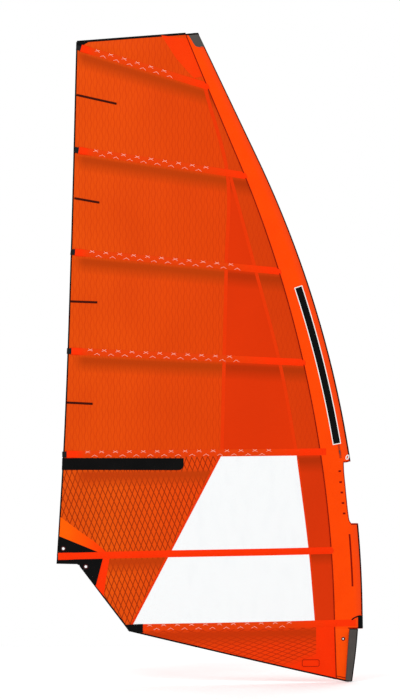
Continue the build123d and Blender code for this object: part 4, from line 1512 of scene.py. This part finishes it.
MINI_BATTENS = [
    [(-2.228, 4.214), (-1.912, 4.143)],
    [(-2.246, 3.398), (-2.048, 3.363)],
    [(-2.279, 2.583), (-2.064, 2.575)],
    [(-2.308, 1.784), (-2.101, 1.774)],
]


def mini_battens():
    """Short stiffeners in the leech, each in its own dark pocket."""
    surface = Surface()
    for line in MINI_BATTENS:
        for side in (-1, 1):
            rows = band(line, 0.017, lambda x, z, s=side: cloth_face(x, z, s, 0.0010), 4, 0.02)
            for k, row in enumerate(rows):
                lift = 0.0016 * (1 - abs(k - 2) / 2)
                rows[k] = [p + Vector((0, side * lift, 0)) for p in row]
            surface.grid(facing(rows, side))
    name, slot, on, node = "mini_batten_pockets", "batten_composite", "body_cloth_2", "mini_battens"
    trim(name, surface, MINI, on, 0.0009, 0.0005, [node])


ZIP_FOOT, ZIP_HEAD = 1.345, 1.453
ZIP_BEHIND = 0.042
TOOTH_PITCH = 0.004
TEETH = 26
FIRST_TOOTH_Z = 1.348
LOOP = (-0.091, 1.353)


def zip_x(z):
    return axis_x(z) - ZIP_BEHIND


def zip_and_loop():
    """The short zip's tape with its two rows of teeth, and the white pull loop at the mouth."""
    on = "upper_sleeve_cloth"
    tape = both_sides(run_up(zip_x, ZIP_FOOT, ZIP_HEAD, 12), 0.020, on_sleeve, 0.0003, 2, 0.02)
    trim("zip_tape", tape, ZIP_TAPE, on, 0.0004, 0.0003)
    teeth = Surface()
    for k in range(TEETH):
        z = FIRST_TOOTH_Z + TOOTH_PITCH * k
        x = zip_x(z) + (0.0012 if k % 2 else -0.0012)
        tooth = [(x - 0.0016, z), (x + 0.0016, z)]
        rows = band(tooth, 0.0018, lambda a, b: on_sleeve(a, b, -1, 0.0012), 1, 0.004)
        teeth.grid(facing(rows, -1))
    trim("zip_teeth", teeth, NYLON, on, 0.0006, 0.0004)
    ring = []
    for k in range(25):
        angle = 2 * pi * k / 24
        lean = 0.010 * cos(angle) + 0.004 * sin(angle)
        ring.append((LOOP[0] + lean, LOOP[1] + 0.017 * sin(angle)))
    rows = band(ring, 0.007, lambda x, z: on_sleeve(x, z, -1, 0.0022), 2, 0.005)
    loop = Surface().grid(facing(rows, -1))
    trim("pull_loop", loop, WHITE_TAPE, on, 0.0012, 0.0008)


def cad_finishes():
    """Procedural materials on the CAD nodes that stay in view."""
    looks = {
        "tensioner_housings": PLASTIC,
        "cams": PLASTIC,
        "mast_tip_socket": PLASTIC,
        "rings": RING,
        "tack_pulley_frame": STEEL,
        "zip_slider": ZIP,
    }
    families = {"tension_screw": STEEL, "batten_pusher": PUSHER, "tack_sheave": NYLON}
    for name, node in NODES.items():
        look = looks.get(name)
        for start, finish in families.items():
            if name.startswith(start):
                look = finish
        if name.startswith("batten_") and name[7:].isdigit():
            look = CARBON
        if look:
            for place in node.material_slots:
                place.material = look
            if not node.material_slots:
                node.data.materials.append(look)


def studio():
    """Plain pale floor, soft light and a camera square to the sail."""
    paper = bpy.data.meshes.new("floor")
    left, right, near, far, level = -5.4, 3.0, -3.4, 3.4, CAD_BOX[0].z - 0.004
    corners = [(left, near, level), (right, near, level), (right, far, level), (left, far, level)]
    paper.from_pydata(corners, [], [(0, 1, 2, 3)])
    base = bpy.data.objects.new("floor", paper)
    bpy.context.collection.objects.link(base)
    ground = Finish("floor_paper", 0.9, 0.1)
    cloudy = ground.ramp(ground.noise(3.0), 0.3, 0.7)
    tone = ground.mix(cloudy, (0.93, 0.93, 0.93, 1), (0.96, 0.96, 0.96, 1))
    paper.materials.append(ground.colour(tone))

    world = bpy.data.worlds.new("studio")
    bpy.context.scene.world = world
    world.use_nodes = True
    sky = world.node_tree.nodes["Background"]
    sky.inputs["Color"].default_value = (1, 1, 1, 1)
    sky.inputs["Strength"].default_value = 1.0

    target = Vector((-1.253, 0.0, 2.203))
    for name, place, size, power in (
        ("key", (-6.5, -9.0, 9.0), 5.0, 420.0),
        ("rear", (4.0, 9.0, 6.0), 5.0, 320.0),
    ):
        lamp = bpy.data.lights.new(name, "AREA")
        lamp.size = size
        lamp.energy = power
        light = bpy.data.objects.new(name, lamp)
        bpy.context.collection.objects.link(light)
        light.location = place
        light.rotation_euler = (target - Vector(place)).to_track_quat("-Z", "Y").to_euler()

    lens = bpy.data.cameras.new("camera")
    camera = bpy.data.objects.new("camera", lens)
    bpy.context.collection.objects.link(camera)
    distance, frame_height, sensor = 30.0, 5.522, 36.0
    lens.sensor_width = sensor
    lens.lens = sensor * distance / frame_height
    lens.clip_end = 200.0
    camera.location = target - Vector((0, distance, 0))
    camera.rotation_euler = (pi / 2, 0, 0)
    bpy.context.scene.camera = camera
    bpy.context.scene.view_settings.view_transform = "Standard"


studio()
panels()
lower_panels()
clew()
pockets()
stitches()
sleeve()
head_patch()
cuff()
tack_flap()
bindings()
end_bindings()
tapes()
luff_line()
sleeve_bands()
plain_strip()
patches()
marks()
stripes()
opening_trim()
mini_battens()
zip_and_loop()
cad_finishes()
